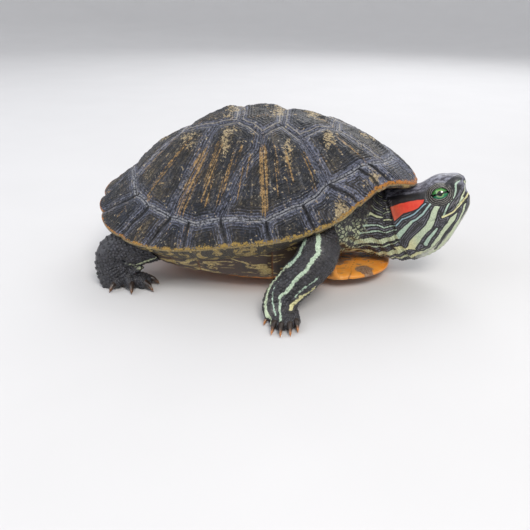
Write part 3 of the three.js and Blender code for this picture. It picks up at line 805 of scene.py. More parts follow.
def plate_steps(x, y):
    """Share by which the rear edge of each front marginal plate stands over the next."""
    raised = np.zeros(len(x))
    for seam in MARGINAL_SEAMS[1:7]:
        past = past_seam(seam, x, np.abs(y))
        raised = np.maximum(raised, np.exp(np.minimum(past, 0) / 3) * (past < 0))
    return raised * smooth(x, -5, 8)


def away(angle):
    """Level directions away from the shell's middle."""
    return np.column_stack([np.cos(angle), np.sin(angle), np.zeros(len(angle))])


def shell_relief(dome, seam, kind, number, core):
    """How far the horn stands over the smooth dome: plates, rings, bosses, keel, spokes and wear."""
    x, y, _ = dome.T
    waver = seam + 0.35 * noise(dome, 6, 5) + 0.15 * noise(dome, 2.2, 6)
    worn = 0.5 + 0.5 * noise(dome, 11, 9)
    rings = sum(bump(waver, step, 0.45) * (0.38 - 0.03 * step) for step in RING_STEPS)
    pillow = 0.8 * (1 - bump(seam, 0, 2.2))
    groove = (0.7 + 0.3 * (kind == MARGINAL_SEAM)) * bump(seam, 0, 0.6)
    steps = 0.9 * plate_steps(x, y) * (number >= NUCHAL)
    boss = 0.8 * bump(core, 0, 5.5) + 0.25 * bump(core, 0, 11)
    keel = 0.9 * bump(y, 0, 2.2) * smooth(core, 26, 6) * (number < len(VERTEBRALS))
    spokes = np.sin(np.arctan2(np.abs(y), x) * 70 + 3 * noise(dome, 9, 3))
    spokes = 0.1 * spokes * smooth(seam, 1.5, 5)
    rough = 0.24 * noise(dome, 2.6, 1) + 0.16 * noise(dome, 1.2, 2)
    return pillow - groove + boss + keel + steps - rings * (0.6 + 0.7 * worn) + spokes + rough - 0.6


def ray_marks(dome, fraction):
    """Broad smears and fine streaks along rays from the shell's middle."""
    direction = np.arctan2(np.abs(dome[:, 1]), dome[:, 0])
    ray = np.column_stack([direction * 30, fraction * 4, np.zeros(len(fraction))])
    smear = 0.6 * noise(ray, 1, 61) + 0.5 * noise(ray * [2.4, 2, 1], 1, 62)
    spoke = 0.7 * noise(ray * [4.5, 1.1, 1], 1, 63) + 0.45 * noise(ray * [9, 1.8, 1], 1, 64)
    return smear * smooth(fraction, 0.08, 0.35), spoke


def build_carapace():
    angle, fraction = (values.ravel() for values in disc_grid(TOP_ROWS, TOP_COLUMNS))
    radius = outline_radius(angle)
    dome = away(angle) * (radius * fraction)[:, None]
    dome[:, 2] = dome_height(angle, fraction)
    seam, kind, number, core, tan, streak = shell_marks(dome)
    height = shell_relief(dome, seam, kind, number, core) * (1 - smooth(fraction, 0.955, 1.0) * 0.75)
    points = dome + grid_normals(dome, TOP_ROWS, TOP_COLUMNS) * height[:, None]
    points -= away(angle) * (notch(angle) * smooth(fraction, 0.9, 1))[:, None]
    smear, spoke = ray_marks(dome, fraction)
    marks = {
        "seam": seam, "plate": number, "core": core, "tan": tan, "streak": streak, "smear": smear,
        "spoke": spoke, "ring_seam": kind == RING_SEAM, "vertebral_seam": kind == VERTEBRAL_SEAM,
        "marginal_seam": kind == MARGINAL_SEAM, "rim": (1 - fraction) * radius,
        "turn": np.degrees(turn_from_front(angle)),
    }

    border = grid_border(TOP_ROWS, TOP_COLUMNS)
    rows = under_rows(points[border], angle[border])
    count, start = len(border), len(points)
    loops = [border] + [start + k * count + np.arange(count) for k in range(len(rows))]
    strips = [
        np.stack([upper, lower, np.roll(lower, -1), np.roll(upper, -1)], axis=1)
        for upper, lower in zip(loops, loops[1:])
    ]
    middle = np.full(count, start + len(rows) * count)
    fan = np.stack([np.roll(loops[-1], -1), middle, loops[-1]], axis=1)
    quads = np.concatenate([grid_quads(TOP_ROWS, TOP_COLUMNS), *strips])
    everything = np.concatenate([points, *rows, [[0, 0, DOME_HEIGHT - CARAPACE_THICKNESS]]])
    source = np.concatenate([np.arange(start), np.resize(border, len(rows) * count + 1)])
    marks = {key: values[source] for key, values in marks.items()}
    below = np.append(np.repeat(np.arange(len(rows)), count), len(rows)) + 1
    marks["under"] = np.concatenate([np.zeros(start), below])
    faces = outward(everything, [quads, fan])
    return make_piece("carapace_horn", everything, faces, ["carapace"], marks)


def outward(points, faces):
    """Faces turned so that a closed mesh has its outside out, judged by its signed volume."""
    volume = 0.0
    for part in faces:
        a = points[part[:, 0]]
        for k in range(1, part.shape[1] - 1):
            volume += (a * np.cross(points[part[:, k]], points[part[:, k + 1]])).sum()
    return faces if volume > 0 else [part[:, ::-1] for part in faces]


def under_rows(edge, angle):
    """Rings from the rim round its edge, across the marginals' underside and up the inside."""
    out = away(angle)
    up = np.array([0, 0, 1.0])
    flange_radius, flange_level = flange_end(angle)
    flange = out * flange_radius[:, None] + up * flange_level[:, None]
    rows = [edge - out * 0.05 - up * 0.9, edge - out * 0.4 - up * 1.8]
    start = edge - out * 1.5 - up * 2.3
    seam_groove = np.minimum(0.25 * notch(angle) / RIM_NICK, 0.5)[:, None]
    for share in (0, 0.12, 0.26, 0.42, 0.6, 0.8, 1.0):
        sag = 0.9 * math.sin(math.pi * share)
        rows.append(lerp(start, flange, share) - up * sag + up * seam_groove * (1 - share))
    rows.append(flange - out * 2 + up * 4)
    for step in (0.86, 0.78, 0.7, 0.6, 0.5, 0.38, 0.25, 0.12):
        radius, level = inner_dome(angle, step)
        rows.append(out * radius[:, None] + up * level[:, None])
    return rows


# ------------------------------------------------------------------ plastron
# Seams across the plastron: place on the midline, and lean backwards or forwards to the sides.
PLASTRON_SEAMS = ((56.5, 0.1), (40, -0.05), (13, -0.05), (-19, 0.05), (-41, -0.1))
PLASTRON_DIVISIONS = (16, 14, 5, 8, 4, 8, 10, 8, 6)
PLASTRON_EDGE_ROWS = (40, 48)
PLASTRON_TURN_STEPS = 560


def plastron_rings(angle):
    """Radius and height of the profile at each angle, divided finely and slightly rounded."""
    corners = np.array(plastron_profile(angle))
    rows = [
        lerp(a, b, k / count)
        for a, b, count in zip(corners, corners[1:], PLASTRON_DIVISIONS) for k in range(count)
    ]
    rows = np.array([*rows, corners[-1]])
    for _ in range(3):
        rows[1:-1] = (rows[:-2] + 2 * rows[1:-1] + rows[2:]) / 4
    return rows[:, 0], rows[:, 1]


def build_plastron():
    angle = np.arange(PLASTRON_TURN_STEPS) / PLASTRON_TURN_STEPS * 2 * np.pi
    radius, level = plastron_rings(angle)
    sheet = np.stack([radius * np.cos(angle), radius * np.sin(angle), level], axis=2)
    flat = sheet.reshape(-1, 3)
    x, y = flat[:, 0], flat[:, 1]
    wave = 0.5 * noise(flat, 6, 21)
    seam = np.abs(y + wave)
    for place, bend in PLASTRON_SEAMS:
        seam = np.minimum(seam, np.abs(x - place + bend * np.abs(y) + wave))
    normals = np.cross(np.gradient(sheet, axis=1), np.gradient(sheet, axis=0))
    facing = np.sign((normals * (sheet - sheet.mean((0, 1)))).sum())
    normals = unit(normals).reshape(-1, 3) * facing
    row = np.repeat(np.arange(len(sheet)), PLASTRON_TURN_STEPS)
    outer_face = 1 - smooth(row, *PLASTRON_EDGE_ROWS)
    height = -0.5 * bump(seam, 0, 0.5) - 0.25 * bump(seam, 0, 1.4)
    height += 0.08 * np.sin(seam * 3.1) * smooth(seam, 6, 1) + 0.12 * noise(flat, 3, 22)
    flat = flat + normals * (height * outer_face * smooth(radius.ravel(), 1, 6))[:, None]
    points, triangles, quads = ring_surface(list(flat.reshape(sheet.shape)))
    marks = {
        "seam": seam,
        "bridge": bridge_share(np.arctan2(y, x)) * smooth(radius.ravel(), 40, 46),
        "level": flat[:, 2] - flat[:, 2].min(),
        "stain": np.exp(-(((x - 61) / 5) ** 2) - ((np.abs(y) - 25) / 5) ** 2),
    }
    kept = np.r_[0, PLASTRON_TURN_STEPS:len(flat) - PLASTRON_TURN_STEPS, len(flat) - 1]
    marks = {key: values[kept] for key, values in marks.items()}
    faces = outward(points, [quads, triangles])
    return make_piece("plastron_horn", points, faces, ["plastron"], marks)


# ------------------------------------------------------------------ materials
def colour(code):
    """A colour from its six-digit sRGB code."""
    values = [int(code[k:k + 2], 16) / 255 for k in (0, 2, 4)]
    return [v / 12.92 if v <= 0.04045 else ((v + 0.055) / 1.055) ** 2.4 for v in values] + [1.0]


class Value:
    """What a material works out at each place, on which sums are written as sums."""

    def __init__(self, shader, socket):
        self.shader, self.socket = shader, socket

    def __add__(self, other):
        return self.shader.math("ADD", self, other)

    def __sub__(self, other):
        return self.shader.math("SUBTRACT", self, other)

    def __rsub__(self, other):
        return self.shader.math("SUBTRACT", other, self)

    def __mul__(self, other):
        return self.shader.math("MULTIPLY", self, other)

    def __or__(self, other):
        """The greater of two values."""
        return self.shader.math("MAXIMUM", self, other)

    def apply(self, operation):
        return self.shader.node("ShaderNodeMath", 0, {0: self}, operation=operation)

    def ramp(self, start, end):
        """0 at start to 1 at end, smoothly."""
        values = {"Value": self, "From Min": start, "From Max": end}
        return self.shader.node("ShaderNodeMapRange", "Result", values, interpolation_type="SMOOTHSTEP")

    def band(self, low, high, soft):
        """1 between low and high, with soft ends."""
        return self.ramp(low - soft, low + soft) * self.ramp(high + soft, high - soft)


class Shader:
    """A material whose colour is laid over a ground in covers, each with a share and a tone."""

    def __init__(self, name, ground, roughness, specular, coat=0.0, coat_roughness=0.1):
        self.material = bpy.data.materials.new(name)
        self.material.use_nodes = True
        self.tree = self.material.node_tree
        self.surface = self.tree.nodes["Principled BSDF"].inputs
        self.surface["Roughness"].default_value = roughness
        self.surface["Specular IOR Level"].default_value = specular
        self.surface["Coat Weight"].default_value = coat
        self.surface["Coat Roughness"].default_value = coat_roughness
        self.place = self.node("ShaderNodeTexCoord", "Object")
        self.colour = ground

    def node(self, kind, output, values=(), **settings):
        made = self.tree.nodes.new(kind)
        for key, value in settings.items():
            setattr(made, key, value)
        for key, value in dict(values).items():
            self.put(made.inputs[key], value)
        return Value(self, made.outputs[output])

    def put(self, socket, value):
        if isinstance(value, Value):
            self.tree.links.new(value.socket, socket)
        else:
            socket.default_value = value

    def mark(self, name):
        return self.node("ShaderNodeAttribute", "Fac", attribute_name=name)

    def marks(self, names):
        return [self.mark(name) for name in names.split()]

    def math(self, operation, a, b):
        return self.node("ShaderNodeMath", 0, {0: a, 1: b}, operation=operation)

    def mix(self, share, a, b):
        a, b = (colour(tone) if isinstance(tone, str) else tone for tone in (a, b))
        return self.node("ShaderNodeMix", 2, {0: share, 6: a, 7: b}, data_type="RGBA")

    def cover(self, share, tone):
        self.colour = self.mix(share, self.colour, tone)

    def noise(self, size, detail=3.0, roughness=0.6, stretch=None, distortion=0.0):
        """Noise from 0 to 1 with blobs of a size in millimetres."""
        place = self.place
        if stretch:
            place = self.node("ShaderNodeMapping", "Vector", {"Vector": place, "Scale": stretch})
        values = {"Vector": place, "Scale": 1 / (size * MM), "Detail": detail, "Roughness": roughness,
                  "Distortion": distortion}
        return self.node("ShaderNodeTexNoise", "Fac", values)

    def cells(self, size, feature="F1"):
        values = {"Vector": self.place, "Scale": 1 / (size * MM)}
        return self.node("ShaderNodeTexVoronoi", "Distance", values, feature=feature)

    def finish(self, roughness=None, height=None, depth=0.0):
        """The material, with a roughness that varies and a bump of a depth in millimetres where given."""
        self.put(self.surface["Base Color"], self.colour)
        if roughness is not None:
            self.put(self.surface["Roughness"], roughness)
        if height is not None:
            values = {"Height": height, "Strength": 1.0, "Distance": depth * MM}
            self.put(self.surface["Normal"], self.node("ShaderNodeBump", "Normal", values))
        return self.material


def carapace_material():
    s = Shader("carapace_horn_look", "090b12", 0.42, 0.4, 0.1, 0.25)
    seam, rim, under, turn, plate = s.marks("seam rim under turn plate")
    grain, fine, mid, broad = s.noise(0.55, 5, 0.75), s.noise(1.1, 5, 0.7), s.noise(3.6, 5, 0.65), s.noise(13)
    loose = (mid - 0.5) + (fine - 0.5)
    wavering = seam + (mid - 0.5) * 1.6
    rings = (wavering * 4.6).apply("SINE")

    # Ground, and the smears along the rays.
    s.cover(mid.ramp(0.38, 0.62), "1e2432")
    s.cover(broad.ramp(0.45, 0.65) * 0.3, "3b3226")
    s.cover(fine.ramp(0.52, 0.62) * broad.ramp(0.35, 0.6) * 0.4, "6d6450")
    smear_tone = s.mix(broad.ramp(0.4, 0.6), "6b6c74", "75684e")
    s.cover(s.mark("smear").ramp(0.12, 0.5) * fine.ramp(0.42, 0.56) * 0.5, smear_tone)

    # Growth rings, brightest beside the seams, on the high plates and on the front margin.
    ring_light = rings.ramp(0.2, 0.9) * wavering.ramp(7.5, 0.5) * fine.ramp(0.38, 0.56)
    s.cover(ring_light * 0.7, "8389a2")
    high = turn.ramp(70, 30) | plate.ramp(4.6, 4.4)
    growth = wavering.band(0.6, 3.2, 0.6) * fine.ramp(0.4, 0.58)
    s.cover(growth * (high * 0.45 + 0.25), "7e8399")
    ladder = s.mark("vertebral_seam") * wavering.band(0.9, 2.6, 0.4) * rings.ramp(0.0, 0.6)
    s.cover(ladder * 0.6, "a8a08e")
    front = plate.ramp(8.4, 8.6) * turn.ramp(62, 34) * fine.ramp(0.36, 0.6) * rings.ramp(-0.7, 0.7)
    s.cover(front * 0.6, "80859c")

    # Tan patches, ochre streaks, dark stains, pale flecks and the seams.
    tan_share = (s.mark("tan") + loose * 3.4).ramp(0.55, 0.75)
    s.cover(tan_share * 0.8, s.mix(fine.ramp(0.4, 0.6), "6a5c44", "c6b28a"))
    streaky = s.mark("spoke") * 0.95 + loose * 1.1
    streak_share = (s.mark("streak") * 0.85 + streaky).ramp(0.62, 0.95)
    s.cover(streak_share * 0.85, s.mix(fine.ramp(0.4, 0.6), "6a5330", "b8935c"))
    s.cover(s.noise(5, 4, 0.7).ramp(0.54, 0.6) * seam.ramp(1.5, 4.0) * 0.7, "090a0e")
    s.cover(s.noise(1.1, 4, 0.7).ramp(0.62, 0.68) * s.noise(8, 2).ramp(0.5, 0.6) * 0.8, "cfccbe")
    s.cover(s.mark("ring_seam") * seam.band(0.3, 1.15, 0.25) * fine.ramp(0.38, 0.55) * 0.7, "a6a8ae")
    s.cover((seam - s.mark("marginal_seam") * 0.35).ramp(0.45, 0.15) * 0.9, "08080a")

    # The orange rim, and the blotched underside of the margin.
    rim_width = turn.ramp(50, 12) * 0.9 + 0.05
    rim_share = (rim + loose * 2.2 - rim_width).ramp(0.45, 0.0)
    rim_tone = s.mix(turn.ramp(8, 60), "c4761f", "a98c48")
    rim_tone = s.mix(turn.ramp(110, 160), rim_tone, "b8702c")
    rim_tone = s.mix(fine.ramp(0.5, 0.6), rim_tone, "453c33")
    s.cover(rim_share * under.ramp(1.0, 0.0), rim_tone)
    blot = s.noise(6, 4, distortion=0.8).ramp(0.42, 0.5)
    below_tone = s.mix(fine.ramp(0.35, 0.65), "a58c52", "cdb67c")
    below_tone = s.mix(blot * under.ramp(0.5, 1.6) * 0.92, below_tone, "35373a")
    s.cover(under.ramp(0.1, 1.2), below_tone)
    s.cover(under.ramp(9.5, 10.5), "3a332a")
    return s.finish(mid.ramp(-0.6, 1.7) * 0.35 + 0.22, rings * 0.45 + fine * 1.4 + grain * 0.9, 0.4)


def plastron_material():
    s = Shader("plastron_horn_look", "e0851c", 0.4, 0.45, 0.15, 0.2)
    seam, bridge, level = s.marks("seam bridge level")
    fine, mid = s.noise(0.8, 4), s.noise(4, 4)
    s.cover(s.noise(15).ramp(0.35, 0.65), "e89a3a")
    s.cover(mid.ramp(0.4, 0.7) * 0.3, "efbe80")
    smudge = s.noise(13, 4, distortion=1.0).ramp(0.55, 0.62) * seam.ramp(0.8, 3.0)
    smudge = smudge | (s.mark("stain") + (mid - 0.5)).ramp(0.3, 0.5)
    s.cover(smudge * 0.85, s.mix(fine.ramp(0.4, 0.6), "4a3f3c", "8d8078"))
    blot = s.noise(6, 5, 0.65, (0.45, 1.0, 1.5), 0.8).ramp(0.58, 0.53)
    bridge_tone = s.mix(blot, s.mix(fine.ramp(0.4, 0.6), "a08d58", "c4b47e"), "2a2d31")
    raised = level + (mid - 0.5) * 9.0
    s.cover(raised.ramp(2.2, 3.6) * bridge.ramp(0.15, 0.4) * 0.95, bridge_tone)
    s.cover(seam.ramp(0.6, 0.2) * 0.75, "6b3c14")
    return s.finish(None, fine + s.noise(0.35, 2) * 0.4, 0.12)


# ------------------------------------------------------------------ skin, as a field of distances
BAND_STEPS = 9
SKIN_DEPTH = 0.3
SHELL_GAP = 0.3
SOLE_LIFT = 0.35
FAR_OUTSIDE = -50.0


def joined(a, b, blend, fill):
    """The lesser of two distances, filled by up to `fill` where they differ by less than `blend`."""
    reach = np.maximum(blend - np.abs(a - b), 0) / blend
    return np.minimum(a, b) - reach * reach * fill


class Field:
    """Signed distances to the flesh on a regular grid, negative inside."""

    def __init__(self, low, high, step):
        self.low, self.step = np.array(low, float), step
        self.count = np.ceil((np.array(high) - self.low) / step).astype(int) + 1
        self.band = BAND_STEPS * step
        self.values = np.full(self.count, self.band, np.float32)

    def window(self, low, high):
        """The grid's slices that hold a box."""
        first = np.maximum(np.floor((np.asarray(low) - self.low) / self.step).astype(int), 0)
        last = np.ceil((np.asarray(high) - self.low) / self.step).astype(int) + 1
        return tuple(slice(a, b) for a, b in zip(first, np.minimum(last, self.count)))

    def solid(self, surface):
        """The window round a closed surface, and the distances to it there."""
        points, triangles, quads = surface
        window = self.window(points.min(0) - self.band, points.max(0) + self.band)
        first = np.array([part.start for part in window])
        grid = openvdb.FloatGrid.createLevelSetFromPolygons(
            (points - self.low - first * self.step).astype(np.float32),
            triangles=triangles.astype(np.uint32), quads=quads.astype(np.uint32),
            transform=openvdb.createLinearTransform(self.step), halfWidth=BAND_STEPS)
        values = np.empty([part.stop - part.start for part in window], np.float32)
        grid.copyToArray(values)
        return window, values

    def join(self, surface, blend, limit=None):
        """Adds a closed surface, rounded into what is there over a width in millimetres."""
        window, values = self.solid(surface)
        if limit is not None:
            values = np.maximum(values, limit(self.places(window)).astype(np.float32))
        self.values[window] = joined(self.values[window], values, blend, blend / 4)

    def cut(self, surface, gap):
        """Takes away a closed surface and a gap round it."""
        window, values = self.solid(surface)
        self.values[window] = np.maximum(self.values[window], gap - values)

    def places(self, window):
        axes = [self.low[k] + self.step * np.arange(part.start, part.stop) for k, part in enumerate(window)]
        return np.meshgrid(*axes, indexing="ij")

    def shape(self, low, high, change):
        """Changes the distances in a box with a function of the places and the distances."""
        window = self.window(low, high)
        points = np.stack([grid.ravel() for grid in self.places(window)], axis=1)
        flat = self.values[window].ravel()
        near = np.abs(flat) < self.band * 0.9
        flat[near] = change(points[near], flat[near])
        self.values[window] = flat.reshape(self.values[window].shape)

    def mesh(self):
        """Points and quads of the skin, which lies inside the flesh; the grid's faces count as outside."""
        for axis in range(3):
            faces = np.moveaxis(self.values, axis, 0)
            faces[0] = faces[-1] = self.band
        grid = openvdb.FloatGrid(float(self.band))
        grid.copyFromArray(self.values)
        grid.transform = openvdb.createLinearTransform(self.step)
        points, quads = grid.convertToQuads(-SKIN_DEPTH)
        return points + self.low, quads


def mirrored(surface):
    points, triangles, quads = surface
    return points * MIRROR, triangles[:, ::-1], quads[:, ::-1]


def mirrored_sections(sections):
    return Sections(sections.centre * MIRROR, sections.side * MIRROR, sections.up * MIRROR, sections.width,
                    sections.above, sections.below, sections.power, sections.taper)


def slab(outline, thickness):
    """A flat closed plate: outline points, and its thickness."""
    outline = np.asarray(outline, float)
    lift = np.array([0, 0, thickness / 2])
    middle = outline.mean(0)
    return ring_surface([(middle - lift)[None], outline - lift, outline + lift, (middle + lift)[None]])


def webs(digits, share, thickness):
    """Plates of web between neighbouring digits."""
    roots = [np.array(digit[0], float) for digit in digits]
    ends = [lerp(root, np.array(digit[1]), share) for root, digit in zip(roots, digits)]
    plates = []
    for root_a, root_b, a, b in zip(roots, roots[1:], ends, ends[1:]):
        hollow = lerp((a + b) / 2, (root_a + root_b) / 2, 0.22)
        plates.append(slab([root_a, a, hollow, b, root_b], thickness))
    return plates


LIMBS = {
    "fore": (FORELEG, FORE_UP, FORE_DIGITS, 0.6, 1.2),
    "hind": (HINDLEG, HIND_UP, HIND_DIGITS, 0.82, 1.3),
}
LIMB_BLEND = 4.0
DIGIT_BLEND = 0.9


def add_limb(field, limb, side):
    stations, up, digits, web_share, web_thickness = LIMBS[limb]
    turned = (lambda surface: surface) if side < 0 else mirrored
    field.join(turned(limb_sections(stations, up, 40).surface(40)), LIMB_BLEND)
    for root, tip, radius, _ in digits:
        field.join(turned(digit_sections(root, tip, radius).surface(20, 0.5)), DIGIT_BLEND)
    for web in webs(digits, web_share, web_thickness):
        field.join(turned(web), DIGIT_BLEND * 1.4)


# Height of the mouth along the head, and place of the fold behind the head at each angle round it.
MOUTH_LINE = [(21, -3.6), (24, -3.1), (28, -2.2), (33, -1.2), (38, -0.5), (46, -0.2)]
COLLAR = [(-90, 3), (-18, 2.5), (3, 3.6), (29, 4.9), (45, 5.2), (90, 4.7)]
NOSE_CUSHION = (37.1, 1.8, 8.5)
NOSE_CUSHION_RADIUS = 4.7
NOSTRIL = (41.2, 2.3, 8.4)
NOSTRIL_RADIUS = 0.85
GAZE = unit(np.array([0.25, 0.93, 0.27]))
LEVEL_WAY = np.array([1.0, -0.27, -0.25])
GAZE_SIDE = unit(LEVEL_WAY - GAZE * np.dot(GAZE, LEVEL_WAY))
GAZE_UP = np.cross(GAZE_SIDE, GAZE)
GAZE_UP = GAZE_UP * np.sign(GAZE_UP[2])
LID_RADIUS = 5.75
OPENING = (4.6, 2.7)


def eye_frame(local):
    """Places round the eye on the point's own side: out along the gaze, forward and up."""
    folded = np.column_stack([local[:, 0], np.abs(local[:, 1]), local[:, 2]]) - np.array(EYE_PLACE)
    return folded @ GAZE, folded @ GAZE_SIDE, folded @ GAZE_UP, np.linalg.norm(folded, axis=1)


def shape_lids(values, local):
    """Eyelids with their folds, the socket of the eyeball and the opening between the lids."""
    out, forward, raised, distance = eye_frame(local)
    values = joined(values, distance - LID_RADIUS - SKIN_DEPTH, 2.0, 0.5)
    ring = np.hypot(forward / 1.15, raised)
    values = values + 0.3 * bump(ring, 5.7, 0.5) * (out > 1)
    values = values + 0.16 * bump(ring, 4.5, 0.35) * (out > 2) * (np.abs(raised) > 2)
    values = values + 0.1 * noise(local, 0.9, 41) * (ring < 6) * (out > 1)
    values = np.maximum(values, EYE_RADIUS + 0.05 - SKIN_DEPTH - distance)
    wide, high = OPENING
    share = np.clip(np.abs(forward) / wide, 0, 1)
    limit = np.where(raised > 0, high * 1.05, high * 0.95) * (1 - share**2.2)
    opening = np.maximum((np.abs(raised) - limit) * 0.85, np.abs(forward) - wide)
    opening = np.maximum(opening, 0.5 - out)
    opening = np.where(distance < 8, opening, 9)
    return np.maximum(values, -opening - SKIN_DEPTH)


def shape_mouth(values, along, up):
    """The line of the mouth, with the edges of both jaws."""
    height = up - np.interp(along, *np.transpose(MOUTH_LINE))
    share = smooth(along, 20, 23) * smooth(along, 41, 39)
    values = values + 0.75 * bump(height, 0, 0.42) * share
    values = values - 0.3 * bump(height, 1.1, 0.7) * share
    return values - 0.15 * bump(height, -1.2, 0.8) * share


def shape_nose(values, along, half, up):
    """The cushion at the tip of the snout, and the nostrils."""
    near_side = np.column_stack([along, half, up])
    cushion = np.linalg.norm(near_side - NOSE_CUSHION, axis=1) - NOSE_CUSHION_RADIUS
    values = joined(values, cushion, 2.5, 0.6)
    nostril = np.linalg.norm(near_side - NOSTRIL, axis=1)
    return np.maximum(values - 0.3 * bump(nostril, 1.5, 0.6), NOSTRIL_RADIUS - SKIN_DEPTH - nostril)


def shape_head(points, values):
    """Eyelids, mouth and nostrils, and the folds of the neck and throat."""
    local = head_local(points)
    along, half, up = local[:, 0], np.abs(local[:, 1]), local[:, 2]
    values = shape_lids(values, local)
    values = shape_mouth(values, along, up)
    values = shape_nose(values, along, half, up)
    angle = np.degrees(np.arctan2(up, half))
    past_collar = along - np.interp(angle, *np.transpose(COLLAR))
    values = values + 0.55 * bump(past_collar, -0.9, 0.7) - 0.35 * bump(past_collar, 0.4, 0.9)
    folds = 0.32 * np.sin(along * 1.15 + 1.6 * np.sin(np.radians(angle) * 3)) + 0.2 * noise(points, 4, 31)
    values = values + smooth(along, 3, -2) * folds
    throat = smooth(angle, -50, -75) * smooth(along, 26, 14)
    return values + throat * 0.12 * np.sin(along * 2.1 + 0.8 * noise(points, 5, 33))


def shape_limb(points, values):
    """Creases where the limbs bend and loose folds where they meet the body."""
    creases = 0.22 * noise(points * np.array([1, 1, 2.2]), 2.6, 35) + 0.25 * noise(points, 5, 36)
    return values + creases * smooth(np.abs(points[:, 1]), 14, 24)


def floor_cut(points, values):
    return np.maximum(values, FLOOR + SOLE_LIFT - SKIN_DEPTH - points[:, 2])


FRONT_BOX = ((8, -92, -43), (115, 92, 23))
REAR_BOX = ((-92, -64, -43), (-26, 64, 28))
TRUNK_FRONT_FROM = 23
TRUNK_REAR_TO = -29


def build_fields():
    """Distances to the flesh in front, finely, and at the rear."""
    trunk = turned_surface(trunk_profile, 120)
    front = Field(*FRONT_BOX, 0.42)
    front.join(trunk, 1.0, lambda place: TRUNK_FRONT_FROM - place[0])
    front.join(head_sections().surface(96), 6.0)
    rear = Field(*REAR_BOX, 0.5)
    rear.join(trunk, 1.0, lambda place: place[0] - TRUNK_REAR_TO)
    rear.join(limb_sections(TAIL, LEVEL_UP, 40).surface(30, 0.5), 4.0)
    for side in (-1, 1):
        add_limb(front, "fore", side)
        add_limb(rear, "hind", side)
    for profile in (carapace_profile, plastron_profile):
        surface = turned_surface(profile, 180)
        for field in (front, rear):
            field.cut(surface, SHELL_GAP)
    front.shape((40, -30, -43), (115, 30, 23), shape_head)
    for field, low, (far_x, far_y) in ((front, FRONT_BOX[0], (60, 92)), (rear, REAR_BOX[0], (-30, 64))):
        field.shape(low, (far_x, far_y, 0), shape_limb)
        field.shape(low, (far_x, far_y, FLOOR + 4), floor_cut)
    return front, rear


def trunk_core():
    """A plain solid in the middle of the trunk, between the two fields and out of sight."""
    count = 12
    centre = np.column_stack([np.linspace(-32, 26, count), np.zeros(count), np.full(count, -4.0)])
    side, up = np.tile([0.0, 1, 0], (count, 1)), np.tile([0.0, 0, 1], (count, 1))
    return Sections(centre, side, up, 38.0, 24.0, 24.0).surface(40)


def build_skin_mesh():
    """Points and faces of the whole skin: front, rear and the plain middle of the trunk."""
    front, rear = build_fields()
    points, quads = front.mesh()
    rear_points, rear_quads = rear.mesh()
    core_points, core_triangles, core_quads = trunk_core()
    before_core = len(points) + len(rear_points)
    quads = np.concatenate([quads, rear_quads + len(points), core_quads + before_core])
    return np.concatenate([points, rear_points, core_points]), quads, core_triangles + before_core


# ------------------------------------------------------------------ markings of the skin
# Head markings: distance from the base of the head in millimetres, and angle above the level in degrees.
RED_PATCH = [
    (5.5, 41), (10.1, 43), (15.4, 42), (19.4, 41), (22.4, 38), (21.3, 31), (18.5, 25), (15, 23), (10.6, 24),
    (7.8, 20), (5.1, 16),
]
BIG_STRIPE = [
    (26, 17), (23.4, 5), (21.4, -7), (18.1, -19), (13.8, -27), (10.1, -32), (7.3, -38), (5.2, -47),
    (0.2, -50), (-3, -50), (-3, -36), (7.9, -59), (9.2, -54), (12, -47), (15.1, -40), (19.7, -32), (21.8, -25),
    (24.4, -10), (26.2, 2), (28.8, 16),
]
LOOP = [
    (27.9, -33), (24.7, -44), (21.4, -51), (17.7, -58), (14.5, -64), (10.5, -66), (8, -63), (8.3, -57),
    (11.8, -49), (16.2, -38), (20.1, -35), (23.7, -30),
]
JAW_STRIPE = [
    (30.2, -31), (28, -40), (23.7, -47), (18.7, -57), (14.9, -62), (3.8, -65), (3.8, -70), (15.3, -68),
    (20.8, -63), (25.6, -54), (29.2, -49), (31.8, -46), (34, -31),
]
# Lines: points, half widths at the two ends in millimetres, warmth from mint 0 to yellow 1.
HEAD_LINES = [
    ([(22.4, 28), (19.4, 23), (16.2, 17), (13.2, 14), (8.9, 14), (5, 6)], 0.26, 0.34, -0.5),
    ([(24.7, 26), (22.1, 17), (19.2, 9), (15.6, 3), (12.7, 2)], 0.34, 0.5, -0.2),
    ([(12.7, 2), (8.3, -7), (3.3, -18)], 0.7, 1.7, 0.1),
    ([(22.1, -39), (17.9, -47), (13.6, -56)], 0.5, 0.95, 0.0),
    ([(38.7, -2), (35.6, -13), (32.6, -19), (29.4, -19), (27.4, -17)], 0.62, 0.6, 0.95),
    ([(40.4, 68), (38.8, 58), (37, 42), (35.4, 28), (33.4, 16), (31.2, 4), (29, -9), (28, -16)],
     0.26, 0.42, 0.0),
    ([(38.6, 15), (36.7, -2), (35.4, -10)], 0.5, 0.45, 0.3),
    ([(5, 55), (-4, 60), (-30, 60)], 0.12, 0.08, 0.5),
    ([(5, 40), (-4, 46), (-30, 48)], 0.12, 0.08, 0.5),
    ([(5, 36), (-5, 35), (-30, 36)], 0.2, 0.12, 0.3),
    ([(4, 20), (-4, 25), (-14, 26), (-24, 18), (-32, 12)], 0.3, 0.7, 0.45),
    ([(4, 8), (-8, 11), (-30, 8)], 0.35, 0.3, 0.1),
    ([(4, -2), (-8, 1), (-30, -2)], 0.3, 0.3, 0.1),
    ([(3.3, -18), (-4, -17), (-14, -16), (-24, -12), (-32, -9)], 1.5, 1.3, 0.4),
    ([(2, -30), (-10, -27), (-30, -24)], 0.3, 0.3, 0.3),
    ([(0.2, -50), (-10, -44), (-30, -38)], 1.5, 1.3, 0.5),
    ([(3, -68), (-10, -60), (-30, -54)], 0.8, 0.8, 0.5),
    ([(0, -84), (-12, -78), (-30, -74)], 0.7, 0.8, 0.5),
    ([(33, -58), (24, -72), (10, -80)], 0.5, 0.7, 0.4),
    ([(38.4, -26), (36.6, -46), (32.6, -62), (25, -78)], 0.6, 0.8, 0.35),
]
